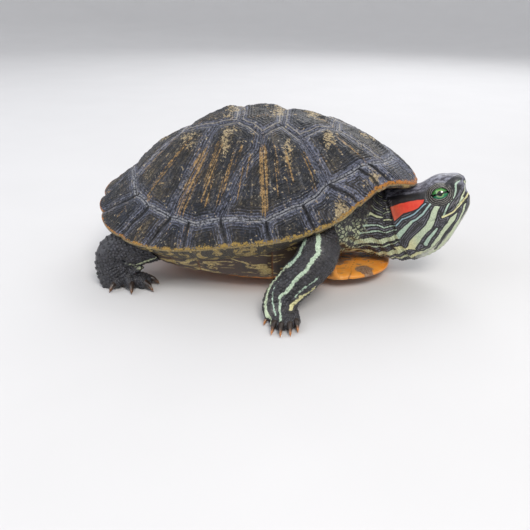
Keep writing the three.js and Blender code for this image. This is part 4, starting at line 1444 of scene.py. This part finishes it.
# Lines at the snout: corners in the head's own axes, half width, warmth.
SNOUT_FACING = unit(np.array([0.6, 0.78, 0.15]))
SNOUT_LINES = [
    ([(42.2, 1.9, 8.2), (41.9, 2.6, 6), (41.3, 3.6, 4), (38.9, 6, 1.9)], 0.42, 0.4),
    ([(41.8, 1.2, 1.7), (40.4, 3.6, 0.6), (38.7, 5.6, -0.2)], 0.5, 0.95),
]
# The black band from the eye to the nostril: places in the head's own axes, and half its width.
NOSE_BAND = [(34.8, 6.2, 10.3), (38.2, 5.0, 11.2), (40.8, 3.0, 11.2)]
NOSE_BAND_HALF = 1.5
LOOP_OUTLINE_HALF = 0.35
RED_OUTLINE_HALF = 0.45
RED_OUTLINE_OFFSET = 0.35
DARK_LINES = [
    ([(5.6, 56), (12, 55), (17.3, 51), (22.6, 45)], 1.0, 1.1),
    ([(37.5, 62), (36, 49)], 0.6, 0.6),
    ([(33.2, -42), (30.2, -54), (26.6, -59), (21.8, -66), (15.8, -74)], 0.45, 0.5),
    ([(36.8, -8), (34.4, -14), (31.8, -16), (29.6, -10)], 0.3, 0.3),
]
# Limb stripes: distance along and angle round the limb, half widths, warmth.
FORE_LINES = [
    ([(20, 66), (27.5, 76), (30.4, 95), (37.4, 102), (44.9, 105), (51.6, 101), (57.5, 80)], 0.8, 0.95, 0.2),
    ([(57.5, 80), (64.3, 73), (71, 62), (78, 60)], 1.1, 0.95, 0.15),
    ([(24, 32), (31.6, 43), (34.9, 54), (41.5, 48)], 0.8, 1.1, 0.1),
    ([(41.5, 48), (46, 34), (54.5, 22), (58.2, 22), (63.1, 13), (70, 9)], 1.1, 0.8, 0.3),
    ([(40, 178), (44.3, 172), (49.9, 155), (59.1, 141), (63, 136)], 0.7, 1.1, 0.9),
    ([(36, 150), (46, 142), (52, 136)], 0.25, 0.3, 0.1),
    ([(50, 50), (60, 46), (66, 40)], 0.2, 0.4, -0.1),
    ([(20, -30), (40, -20), (64, -24)], 0.5, 0.5, 0.6),
    ([(20, -80), (40, -70), (64, -70)], 0.7, 0.7, 0.8),
    ([(20, -130), (40, -120), (60, -120)], 0.5, 0.5, 0.6),
]
HIND_LINES = [
    ([(15, 150), (30, 160), (46, 170)], 0.4, 0.5, 0.4),
    ([(15, -160), (30, -150), (46, -140)], 0.7, 0.7, 0.7),
    ([(15, -100), (30, -95), (46, -90)], 0.7, 0.7, 0.8),
    ([(15, -50), (30, -45), (44, -40)], 0.6, 0.5, 0.6),
    ([(18, 20), (30, 12), (44, 6)], 0.25, 0.3, 0.1),
]
TAIL_LINES = [
    ([(0, 60), (40, 60)], 0.45, 0.25, 0.6), ([(0, 120), (40, 120)], 0.45, 0.25, 0.6),
    ([(0, -30), (40, -30)], 0.5, 0.3, 0.8), ([(0, -150), (40, -150)], 0.5, 0.3, 0.8),
]


def line_depth(along, angle, scale, line, start, end):
    """How deep inside a line of changing half width each place lies, in millimetres."""
    best = np.full(len(along), FAR_OUTSIDE)
    lengths = [0.0]
    for (a, p), (b, q) in zip(line, line[1:]):
        lengths.append(lengths[-1] + math.hypot(b - a, (q - p) * 0.2))
    for k, ((a, p), (b, q)) in enumerate(zip(line, line[1:])):
        dx, dy = b - a, (q - p) * scale
        px, py = along - a, (angle - p) * scale
        t = np.clip((px * dx + py * dy) / (dx * dx + dy * dy + 1e-9), 0, 1)
        distance = np.hypot(px - t * dx, py - t * dy)
        half = lerp(start, end, (lengths[k] + t * (lengths[k + 1] - lengths[k])) / lengths[-1])
        best = np.maximum(best, half - distance)
    return best


def patch_depth(along, angle, scale, outline):
    """Signed depth inside a closed outline, in millimetres."""
    edge = -line_depth(along, angle, scale, outline + outline[:1], 0, 0)
    return np.where(inside(outline, along, angle), edge, -edge)


class Stripes:
    """How deep inside the pale stripes places lie, and how warm the nearest stripe is."""

    def __init__(self, count):
        self.pale, self.warm = np.full(count, FAR_OUTSIDE), np.zeros(count)

    def add(self, depth, warmth):
        self.warm = np.where(depth > self.pale, warmth, self.warm)
        self.pale = np.maximum(self.pale, depth)


def band_distance(points, corners):
    """Distance from points to a line through corners, seen nearly along the way the snout's side faces."""
    flatten = np.eye(3) - 0.8 * np.outer(SNOUT_FACING, SNOUT_FACING)
    points, corners = points @ flatten, np.array(corners) @ flatten
    best = np.full(len(points), 99.0)
    for start, end in zip(corners, corners[1:]):
        way = end - start
        share = np.clip((points - start) @ way / (way @ way), 0, 1)
        best = np.minimum(best, np.linalg.norm(points - start - share[:, None] * way, axis=1))
    return best


def head_scale(along):
    """Millimetres across the head's surface for each degree round it, from its mean half size there."""
    size = np.interp(along, HEAD_STATIONS[:, 0], (HEAD_STATIONS[:, 1] + HEAD_STATIONS[:, 2]) / 2)
    return np.radians(1) * np.maximum(size, 5)


def head_marks(points):
    """The marks of head and neck, which look alike on both sides."""
    local = head_local(points)
    near_side = np.column_stack([local[:, 0], np.abs(local[:, 1]), local[:, 2]])
    neck_along, neck_angle, _ = NECK.locate(points)
    along = np.where(local[:, 0] > 3, local[:, 0], np.minimum(neck_along, 3))
    own_angle = np.degrees(np.arctan2(near_side[:, 2], near_side[:, 1]))
    folded = np.degrees(np.arcsin(np.clip(np.sin(np.radians(neck_angle)), -1, 1)))
    angle = lerp(folded, own_angle, smooth(local[:, 0], -1, 5))
    along, angle = along + 0.2 * noise(points, 2.2, 51), angle + 1.0 * noise(points, 2.6, 52)
    scale = head_scale(along)

    stripes = Stripes(len(points))
    for outline, warmth in ((BIG_STRIPE, 0.3), (JAW_STRIPE, 0.35)):
        stripes.add(patch_depth(along, angle, scale, outline), warmth + 0.5 * smooth(along, 14, 2))
    for line, start, end, warmth in HEAD_LINES:
        stripes.add(line_depth(along, angle, scale, line, start, end), warmth)
    for corners, half_width, warmth in SNOUT_LINES:
        stripes.add(half_width - band_distance(near_side, corners), warmth)

    red = patch_depth(along, angle, scale, RED_PATCH)
    loop = patch_depth(along, angle, scale, LOOP)
    dark = [line_depth(along, angle, scale, line, start, end) for line, start, end in DARK_LINES]
    dark.append(NOSE_BAND_HALF - band_distance(near_side, NOSE_BAND))
    dark.append(LOOP_OUTLINE_HALF - np.abs(loop))
    dark.append(RED_OUTLINE_HALF - np.abs(red + RED_OUTLINE_OFFSET))
    pale = np.where((loop > -0.4) & (np.abs(loop) < 0.5), -1, stripes.pale)

    _, forward, raised, distance = eye_frame(local)
    lid = smooth(np.hypot(forward / 1.1, raised), 6.4, 5.2) * smooth(distance, 8.5, 7)
    return {
        "pale": np.where(lid > 0.3, -6, pale), "warm": stripes.warm, "red": red,
        "dark": np.maximum.reduce(dark), "lid": lid, "lid_ring": np.hypot(forward / 1.15, raised),
        "crown": smooth(angle, 52, 62) * smooth(along, 3, 6),
        "chin": smooth(angle, -62, -72) * smooth(along, 2, 10), "along": along,
    }


def limb_marks(line, lines, points, around):
    """Depth and warmth of a limb's stripes; `around` is its mean half size in millimetres."""
    along, angle, _ = line.locate(points)
    along, angle = along + 0.3 * noise(points, 2.5, 53), angle + 2 * noise(points, 3, 54)
    stripes = Stripes(len(points))
    for stripe, start, end, warmth in lines:
        for turn in (-360, 0, 360):
            stripes.add(line_depth(along, angle + turn, np.radians(1) * around, stripe, start, end), warmth)
    return stripes.pale, stripes.warm


NECK = Line(head_sections(), -NECK_LENGTH)
FORE = Line(limb_sections(FORELEG, FORE_UP, 40))
HIND = Line(limb_sections(HINDLEG, HIND_UP, 30))
TAIL_LINE = Line(limb_sections(TAIL, LEVEL_UP, 30))
PART_NECK, PART_FORE, PART_HIND, PART_TAIL, PART_TRUNK = range(5)


def on_right(points):
    """Places with those on the left side mirrored to the right."""
    return np.column_stack([points[:, 0], -np.abs(points[:, 1]), points[:, 2]])


def part_of(points):
    """Which part each point of the skin belongs to, and how far it lies from the nearest line."""
    folded = on_right(points)
    shares = np.stack([NECK.locate(points)[2], FORE.locate(folded)[2] * 1.05, HIND.locate(folded)[2],
                       TAIL_LINE.locate(points)[2]])
    part = np.argmin(shares, axis=0)
    part = np.where((folded[:, 1] < -50) & (points[:, 0] > 10), PART_FORE, part)
    part = np.where(points[:, 0] > 72, PART_NECK, part)
    far = shares.min(0)
    loose = (far > 1.28) & (folded[:, 1] > -52) & (points[:, 0] < 72) & (points[:, 2] > FLOOR + 8)
    return np.where(loose, PART_TRUNK, part), far


def skin_marks(points):
    """The attributes that colour the skin and its scales."""
    part, far = part_of(points)
    count = len(points)
    outside = dict.fromkeys(("pale", "red", "dark"), FAR_OUTSIDE)
    absent = dict.fromkeys(("lid", "crown", "chin", "along", "lid_ring", "edge"), 0.0)
    fills = {**outside, **absent, "warm": 0.4, "tone": 0.5}
    marks = {key: np.full(count, fill) for key, fill in fills.items()}
    neck = part == PART_NECK
    for key, values in head_marks(points[neck]).items():
        marks[key][neck] = values
    folded = on_right(points)
    for number, line, lines, around, places in (
            (PART_FORE, FORE, FORE_LINES, 8.4, folded), (PART_HIND, HIND, HIND_LINES, 9.5, folded),
            (PART_TAIL, TAIL_LINE, TAIL_LINES, 5, points)):
        mine = part == number
        marks["pale"][mine], marks["warm"][mine] = limb_marks(line, lines, places[mine], around)
    x, _, z = points.T
    mottle = smooth(far, 1.08, 1.3) * (x < 70) * (part != PART_TAIL)
    mottle = np.maximum(mottle, part == PART_TRUNK) * smooth(z, FLOOR + 6, FLOOR + 12)
    marks["mottle"] = mottle * (1 - 0.9 * smooth(z, -9, -3) * (x > 0))
    marks["leg"] = (part == PART_FORE) | (part == PART_HIND)
    # Behind the middle: where the skin material paints bluish sheen over the hind legs.
    marks["hind"] = x < 0
    return marks


def build_skin():
    """Makes the skin, and returns its points and quads for the scales to stand on."""
    points, quads, triangles = build_skin_mesh()
    nodes = ["trunk", "neck", "head", "lower_jaw", "tail"]
    nodes += [f"{limb}_{side}" for limb in ("foreleg", "forefoot", "hindleg", "hindfoot")
              for side in ("right", "left")]
    skin = make_piece("skin", points, [quads, triangles], nodes, skin_marks(points))
    skin.data.materials.append(skin_material("skin_look"))
    return points, quads


def skin_material(name):
    s = Shader(name, "1a191c", 0.45, 0.5, 0.22, 0.25)
    pale, warm, leg, lid, mottle = s.marks("pale warm leg lid mottle")
    fine, mid = s.noise(0.5), s.noise(2.4, 4)

    # Ground, painted bluish sheen on the legs, crown, chin and the folds of the lids.
    s.cover(mid.ramp(0.35, 0.7), "302e33")
    # Painted highlight, partly real: a grey-blue tone on the legs that changes from scale to scale, partly the
    # scales' own tone and partly their bluish highlights.
    s.cover(leg * s.mark("tone").ramp(0.35, 1.0) * 0.5, "474850")
    # Painted sheen, partly real: bluish-grey flecks on everything behind the middle, partly the hind legs' own
    # bluish tint and partly their bluish sheen.
    s.cover(s.mark("hind") * fine.ramp(0.48, 0.64) * 0.28, "454c5c")
    crown_tone = s.mix(s.noise(1.6, 4, 0.7, (0.5, 1, 1)).ramp(0.36, 0.62), "383643", "9799a9")
    s.cover(s.mark("crown") * 0.8, crown_tone)
    s.cover(s.mark("chin"), s.mix(mid.ramp(0.35, 0.6), "8e9384", "c9cbb9"))
    folds = (s.mark("lid_ring") * 8.0 + mid * 6.0).apply("SINE").ramp(0.1, 0.9)
    s.cover(lid, s.mix(folds * fine.ramp(0.35, 0.5), "1a191c", "8a877f"))

    # Pale cells of the shoulders, hairlines between the stripes, and the stripes.
    cell = s.cells(2.5, "DISTANCE_TO_EDGE").ramp(0.07, 0.17)
    mottled = mottle * cell * s.noise(4).ramp(0.38, 0.5)
    s.cover(mottled * 0.9, s.mix(mid.ramp(0.35, 0.65), "98a588", "c9cda6"))
    wavering = pale + (fine - 0.5) * 0.35
    near_hairline = wavering.band(-1.2, -0.95, 0.12) * mid.ramp(0.36, 0.5) * 0.5
    far_hairline = wavering.band(-2.2, -1.95, 0.12) * mid.ramp(0.4, 0.54) * 0.35
    s.cover((near_hairline | far_hairline) * (1.0 - (leg | lid | mottle)), "a3a5b4")
    mint = s.mix(fine.ramp(0.3, 0.7), "93b09d", "bfd4c2")
    cream = s.mix(fine.ramp(0.3, 0.7), "c4c28a", "e4dfb0")
    stripe = s.mix(warm.ramp(0.0, 0.8), mint, cream)
    stripe = s.mix(warm.ramp(-0.05, -0.4), stripe, s.mix(fine, "7ba0b0", "a4c2cc"))
    s.cover(wavering.ramp(-0.16, 0.1), stripe)
    s.cover(s.mark("dark").ramp(-0.1, 0.15) * 0.92, "121218")

    # The red patch, and the dark edges of the scales.
    red_tone = s.mix(s.mark("along").ramp(5, 14), "a8482f", "e03a28")
    red_tone = s.mix(mid.ramp(0.35, 0.7) * 0.35, red_tone, "f0603a")
    s.cover(s.mark("red").ramp(-0.15, 0.15), red_tone)
    s.cover(s.mark("edge").ramp(0.2, 1.0) * 0.55, "0d0c0e")
    return s.finish(mid * 0.3 + 0.3, fine * 0.8 + s.cells(0.8) * 0.5, 0.12)


# ------------------------------------------------------------------ eyes and claws
EYE_ROWS, EYE_TURNS = 48, 72
CORNEA_BULGE = 0.045
CORNEA_ANGLE = 0.6


def build_eye(side, name):
    """An eyeball with a slightly bulging cornea; rows run from the front of the gaze to the back."""
    turn = np.arange(EYE_TURNS) / EYE_TURNS * 2 * np.pi
    circle = np.outer(np.cos(turn), GAZE_SIDE) + np.outer(np.sin(turn), GAZE_UP)
    rings = []
    for angle in np.linspace(0, np.pi, EYE_ROWS):
        size = EYE_RADIUS * (1 + CORNEA_BULGE * math.exp(-((angle / CORNEA_ANGLE) ** 2)))
        rings.append(size * (math.sin(angle) * circle + math.cos(angle) * GAZE))
    points, triangles, quads = ring_surface(rings)
    marks = {"across": points @ GAZE_SIDE, "raised": points @ GAZE_UP, "out": points @ GAZE}
    points = head_point(*((points + np.array(EYE_PLACE)) * np.array([1, side, 1])).T)
    faces = outward(points, [quads, triangles])
    return make_piece(name, points, faces, [name], marks)


def eye_material():
    s = Shader("eye_look", "2c8562", 0.08, 0.6, 1.0, 0.02)
    across, raised, out = s.marks("across raised out")
    radius = (across * across + raised * raised).apply("SQRT")
    fine = s.noise(0.5)
    s.cover(raised.ramp(-1.4, 1.6), "4f9246")
    s.cover(fine.ramp(0.42, 0.66) * 0.5, "2c6d3c")
    s.cover(radius.band(1.4, 1.85, 0.15) * 0.5, "a9c25c")
    bar = (raised - across * 0.1).band(-0.5, 0.5, 0.16) * fine.ramp(0.2, 0.4)
    pupil = radius.ramp(1.45, 1.25)
    s.cover(bar | pupil | radius.ramp(3.5, 4.2) * 0.85, "08090a")
    s.cover(out.ramp(1.0, 0.2), "15120f")
    return s.finish()


# Along a claw: share of the way from the digit's tip to the claw's point, millimetres back,
# millimetres raised, and half width and half height over the digit's half thickness.
CLAW_STATIONS = (
    (0, 2.6, 0.7, 0.44, 0.44), (0, 0.8, 1.1, 0.52, 0.56), (0.3, 0, 1.25, 0.4, 0.48), (0.7, 0, 0.9, 0.22, 0.3),
)
CLAW_ROWS, CLAW_TURNS = 20, 18


def build_claw(name, tip, point, radius, side, hind):
    tip, point = np.array(tip, float), np.array(point, float)
    direction = unit(point - tip)
    stations = []
    for share, back, raised, wide, high in CLAW_STATIONS:
        place = lerp(tip, point, share) - direction * back + np.array([0, 0, raised])
        stations.append([*place, radius * wide, radius * high])
    stations.append([*(point + np.array([0, 0, 0.2])), 0.1, 0.1])
    sections = limb_sections(stations, LEVEL_UP, CLAW_ROWS)
    sections = sections if side < 0 else mirrored_sections(sections)
    points, triangles, quads = sections.surface(CLAW_TURNS, 0.3)
    share = np.concatenate([[0], np.repeat(np.linspace(0, 1, CLAW_ROWS + 1), CLAW_TURNS), [1]])
    points[:, 2] = np.maximum(points[:, 2], FLOOR + 0.05)
    marks = {"tip": share, "hind": np.full(len(share), float(hind))}
    return make_piece(name, points, outward(points, [quads, triangles]), [name], marks)


def claw_material():
    s = Shader("claw_look", "1d1817", 0.3, 0.5, 0.3, 0.15)
    fine = s.noise(0.6, stretch=(1, 1, 0.4))
    s.cover(fine.ramp(0.35, 0.65), "3a2e28")
    tip = s.mark("tip") + fine * 0.25
    s.cover(tip.ramp(0.7, 1.02) * (1.0 - s.mark("hind")), "b5763f")
    return s.finish(None, fine, 0.08)


def build_claws():
    look = claw_material()
    for limb, digits in (("fore", FORE_DIGITS), ("hind", HIND_DIGITS)):
        for side, word in ((-1, "right"), (1, "left")):
            for k, (_, tip, radius, point) in enumerate(digits):
                if point is not None:
                    name = f"claw_{limb}_{word}_{k + 1}"
                    claw = build_claw(name, tip, point, radius, side, 0.75 * (limb == "hind"))
                    claw.data.materials.append(look)


# ------------------------------------------------------------------ scales over the skin
PATCH_UV = 0.003
SCALE_SIDES = 6
SCALE_FORM = (1.12, 1.0, 0.8)
SCALE_GROWTH = (30, 46)
SMALL_SCALES = (1.2, 1.2)
UNDER_SHELL = 22


def scale_template():
    """A closed low dome: bottom ring, top ring, top and bottom middle; x along the lie, z out."""
    turn = np.arange(SCALE_SIDES) / SCALE_SIDES * 2 * np.pi + np.pi / SCALE_SIDES
    ring = np.column_stack([np.cos(turn), np.sin(turn)])
    rise = 0.22 - 0.12 * ring[:, :1]
    bottom = np.hstack([ring * 0.56, np.full((SCALE_SIDES, 1), -0.16)])
    top = np.hstack([ring * 0.4, rise])
    points = np.vstack([bottom, top, [[-0.06, 0, 0.33]], [[0, 0, -0.16]]])
    faces = []
    for k in range(SCALE_SIDES):
        after = (k + 1) % SCALE_SIDES
        faces += [(k, after, after + SCALE_SIDES), (k, after + SCALE_SIDES, k + SCALE_SIDES)]
        faces += [(k + SCALE_SIDES, after + SCALE_SIDES, 2 * SCALE_SIDES), (after, k, 2 * SCALE_SIDES + 1)]
    edge = np.concatenate([np.ones(SCALE_SIDES), np.full(SCALE_SIDES, 0.35), [0, 1]])
    return points, np.array(faces), edge


def place_scales(tree, line, start, end, sizes, patch, side=-1):
    """Scales in staggered rows round a line: places, normals, tangents, sizes and places on the unwrap."""
    mirror = MIRROR if side > 0 else np.ones(3)
    roots = []
    along, row = start, 0
    while along < end:
        index = min(int((along - line.along[0]) / line.STEP), len(line.along) - 1)
        size = lerp(*sizes, float(smooth(along, *SCALE_GROWTH)))
        reach = line.radius[index]
        u = lerp(*patch, (along - start) / (end - start))
        count = max(6, int(2 * math.pi * reach / size))
        for k in range(count):
            turn = (k + 0.5 * (row % 2)) / count * 2 * math.pi
            draw = scattered(np.array([row]), np.array([k]), np.array([int(start * 10)]))
            jitter = float(draw[0]) - 0.5
            angle = turn + 0.1 * jitter
            direction = line.side[index] * math.cos(angle) + line.up[index] * math.sin(angle)
            place = line.centre[index] + line.tangent[index] * jitter * size * 0.25
            origin = (place + direction * reach * 1.9) * mirror
            hit, normal, _, _ = tree.ray_cast(Vector(origin), Vector(-direction * mirror), reach * 1.6)
            if hit is None:
                continue
            own_size = size * (0.92 + 0.16 * jitter)
            tangent = line.tangent[index] * mirror
            roots.append((*hit, *normal, *tangent, own_size, u, (turn / (2 * math.pi)) % 1))
        along += size * 0.84
        row += 1
    return np.array(roots)


def build_coat(name, groups, root_share):
    """One joined mesh of scales; `root_share` says how far each takes the one colour at its root."""
    roots = np.concatenate([group for group in groups if len(group)])
    place, normal = roots[:, 0:3], unit(roots[:, 3:6])
    clear = (place[:, 2] > FLOOR + 0.75) & (np.abs(normal[:, 2] + 1) > 0.02)
    hidden_radius = outline_radius(np.arctan2(place[:, 1], place[:, 0])) - UNDER_SHELL
    clear &= np.hypot(place[:, 0], place[:, 1]) >= hidden_radius
    roots, place, normal = roots[clear], place[clear], normal[clear]
    tangent, size = roots[:, 6:9], roots[:, 9]
    flow = unit(tangent - normal * (tangent * normal).sum(1, keepdims=True))
    axes = [way[:, None] for way in (flow, np.cross(normal, flow), normal)]
    template, faces, edge = scale_template()
    count, total = len(template), len(roots)
    local = (template * SCALE_FORM)[None]
    offset = sum(local[:, :, k:k + 1] * axes[k] for k in range(3))
    points = (place[:, None] + size[:, None, None] * offset).reshape(-1, 3)
    points[:, 2] = np.maximum(points[:, 2], FLOOR + 0.02)
    triangles = (faces[None] + (np.arange(total) * count)[:, None, None]).reshape(-1, 3)
    own, root = skin_marks(points), skin_marks(place)
    marks = {key: lerp(own[key] * 1.0, np.repeat(root[key], count), root_share) for key in own}
    marks["edge"] = np.tile(edge, total)
    # Each scale's own tone, which the skin material also uses for painted highlights on the legs.
    marks["tone"] = np.repeat(scattered(np.arange(total), np.full(total, 7)), count)
    coat = make_piece(name, points, [triangles], [], marks)
    uv = np.repeat(roots[:, 10:12], count, axis=0) + np.tile(template[:, :2] * PATCH_UV * 0.9, (total, 1))
    corner = np.empty(len(coat.data.loops), np.int32)
    coat.data.loops.foreach_get("vertex_index", corner)
    layer = coat.data.uv_layers.new(name="OFBake")
    layer.data.foreach_set("uv", np.clip(uv, 0, 1)[corner].astype(np.float32).ravel())
    return coat


def build_scales(points, quads):
    tree = BVHTree.FromPolygons(points.tolist(), quads.tolist())
    fore, hind = [], []
    for side in (-1, 1):
        shift = 0.0 if side < 0 else 0.5
        patch = (0.02 + shift, 0.3 + shift)
        fore.append(place_scales(tree, FORE, 17, 62, (1.3, 2.0), patch, side))
        hind.append(place_scales(tree, HIND, 12, 48, (1.85, 1.85), patch, side))
        for digits, group in ((FORE_DIGITS, fore), (HIND_DIGITS, hind)):
            for k, (root, tip, radius, _) in enumerate(digits):
                line = Line(digit_sections(root, tip, radius))
                low = 0.31 + 0.035 * k + shift
                patch = (low, low + 0.03)
                group.append(place_scales(tree, line, 0.6, line.along[-1] - 0.3, SMALL_SCALES, patch, side))
    hind.append(place_scales(tree, TAIL_LINE, 3, TAIL_LINE.along[-1] - 1, SMALL_SCALES, (0.3, 0.31)))
    neck = [place_scales(tree, NECK, -22, 3.2, (0.98, 0.98), (0.02, 0.98))]
    look = skin_material("scale_look")
    for name, groups, root_share in (
            ("scales_neck", neck, 0.35), ("scales_forelegs", fore, 0.6), ("scales_hindlegs_tail", hind, 0.6)):
        build_coat(name, groups, root_share).data.materials.append(look)


# ------------------------------------------------------------------ floor, light and camera
CAMERA_PLACE = (53.047, -326.425, 98.165)
CAMERA_VIEW = (-0.13462, 0.90704, -0.39895)
CAMERA_ROLL = 0.8
LENS = 42.37
SENSOR_WIDTH = 36
FLOOR_PROFILE = ((0.6, 0.0), (1.5, 0.0), (1.9, 0.05), (2.2, 0.22), (2.4, 0.5), (2.5, 0.9), (2.5, 1.5))
FLOOR_TURNS = 96


def build_floor():
    """A pale floor that curves up into a low wall all round, far from the animal."""
    ring = away(np.arange(FLOOR_TURNS) / FLOOR_TURNS * 2 * np.pi)
    rows = [ring * radius + [0, 0, height] for radius, height in FLOOR_PROFILE]
    index = np.arange(FLOOR_TURNS) + 1
    pairs = [(int(a), int(b)) for a, b in zip(index, np.roll(index, -1))]
    faces = [(0, a, b) for a, b in pairs]
    for low in range(0, (len(rows) - 1) * FLOOR_TURNS, FLOOR_TURNS):
        high = low + FLOOR_TURNS
        faces += [(a + low, a + high, b + high, b + low) for a, b in pairs]
    mesh = bpy.data.meshes.new("floor")
    mesh.from_pydata(np.concatenate([[[0, 0, 0]], *rows]).tolist(), [], faces)
    mesh.polygons.foreach_set("use_smooth", [True] * len(faces))
    floor = put_in_scene("floor", mesh)
    s = Shader("floor_look", "cfcfd1", 0.85, 0.2)
    s.cover(s.noise(90, 2), "d5d5d7")
    mesh.materials.append(s.finish())


def build_world():
    world = bpy.data.worlds.new("studio")
    bpy.context.scene.world = world
    world.use_nodes = True
    background = world.node_tree.nodes["Background"].inputs
    background["Color"].default_value = colour("f0f1f3")
    background["Strength"].default_value = 0.85


def add_light(name, place, size, power, tint):
    """A soft square lamp that faces the animal."""
    lamp = bpy.data.lights.new(name, "AREA")
    lamp.size = size
    lamp.energy = power
    lamp.color = colour(tint)[:3]
    light = put_in_scene(name, lamp)
    light.location = place
    light.rotation_euler = (-Vector(place)).to_track_quat("-Z", "Y").to_euler()


def build_camera():
    lens = bpy.data.cameras.new("camera")
    lens.lens = LENS
    lens.sensor_width = SENSOR_WIDTH
    lens.clip_start = 0.01
    turn = Vector(CAMERA_VIEW).to_track_quat("-Z", "Y").to_matrix()
    turn = turn @ Matrix.Rotation(math.radians(CAMERA_ROLL), 3, "Z")
    camera = put_in_scene("camera", lens)
    camera.matrix_world = Matrix.Translation(Vector(to_row(CAMERA_PLACE))) @ turn.to_4x4()
    bpy.context.scene.camera = camera
    bpy.context.scene.view_settings.view_transform = "Standard"


LAMPS = (
    ("key_light", (0.35, -0.75, 1.0), 0.5, 9.5, "fffaf2"),
    ("fill_light", (-0.9, -0.3, 0.6), 0.9, 4, "f3f7ff"),
    ("back_light", (0.2, 0.9, 0.8), 0.8, 6, "ffffff"),
)

build_camera()
build_floor()
build_world()
for lamp in LAMPS:
    add_light(*lamp)
build_carapace().data.materials.append(carapace_material())
build_plastron().data.materials.append(plastron_material())
skin_points, skin_quads = build_skin()
eye_look = eye_material()
for eye_side, eye_name in ((-1, "eye_right"), (1, "eye_left")):
    build_eye(eye_side, eye_name).data.materials.append(eye_look)
build_claws()
build_scales(skin_points, skin_quads)
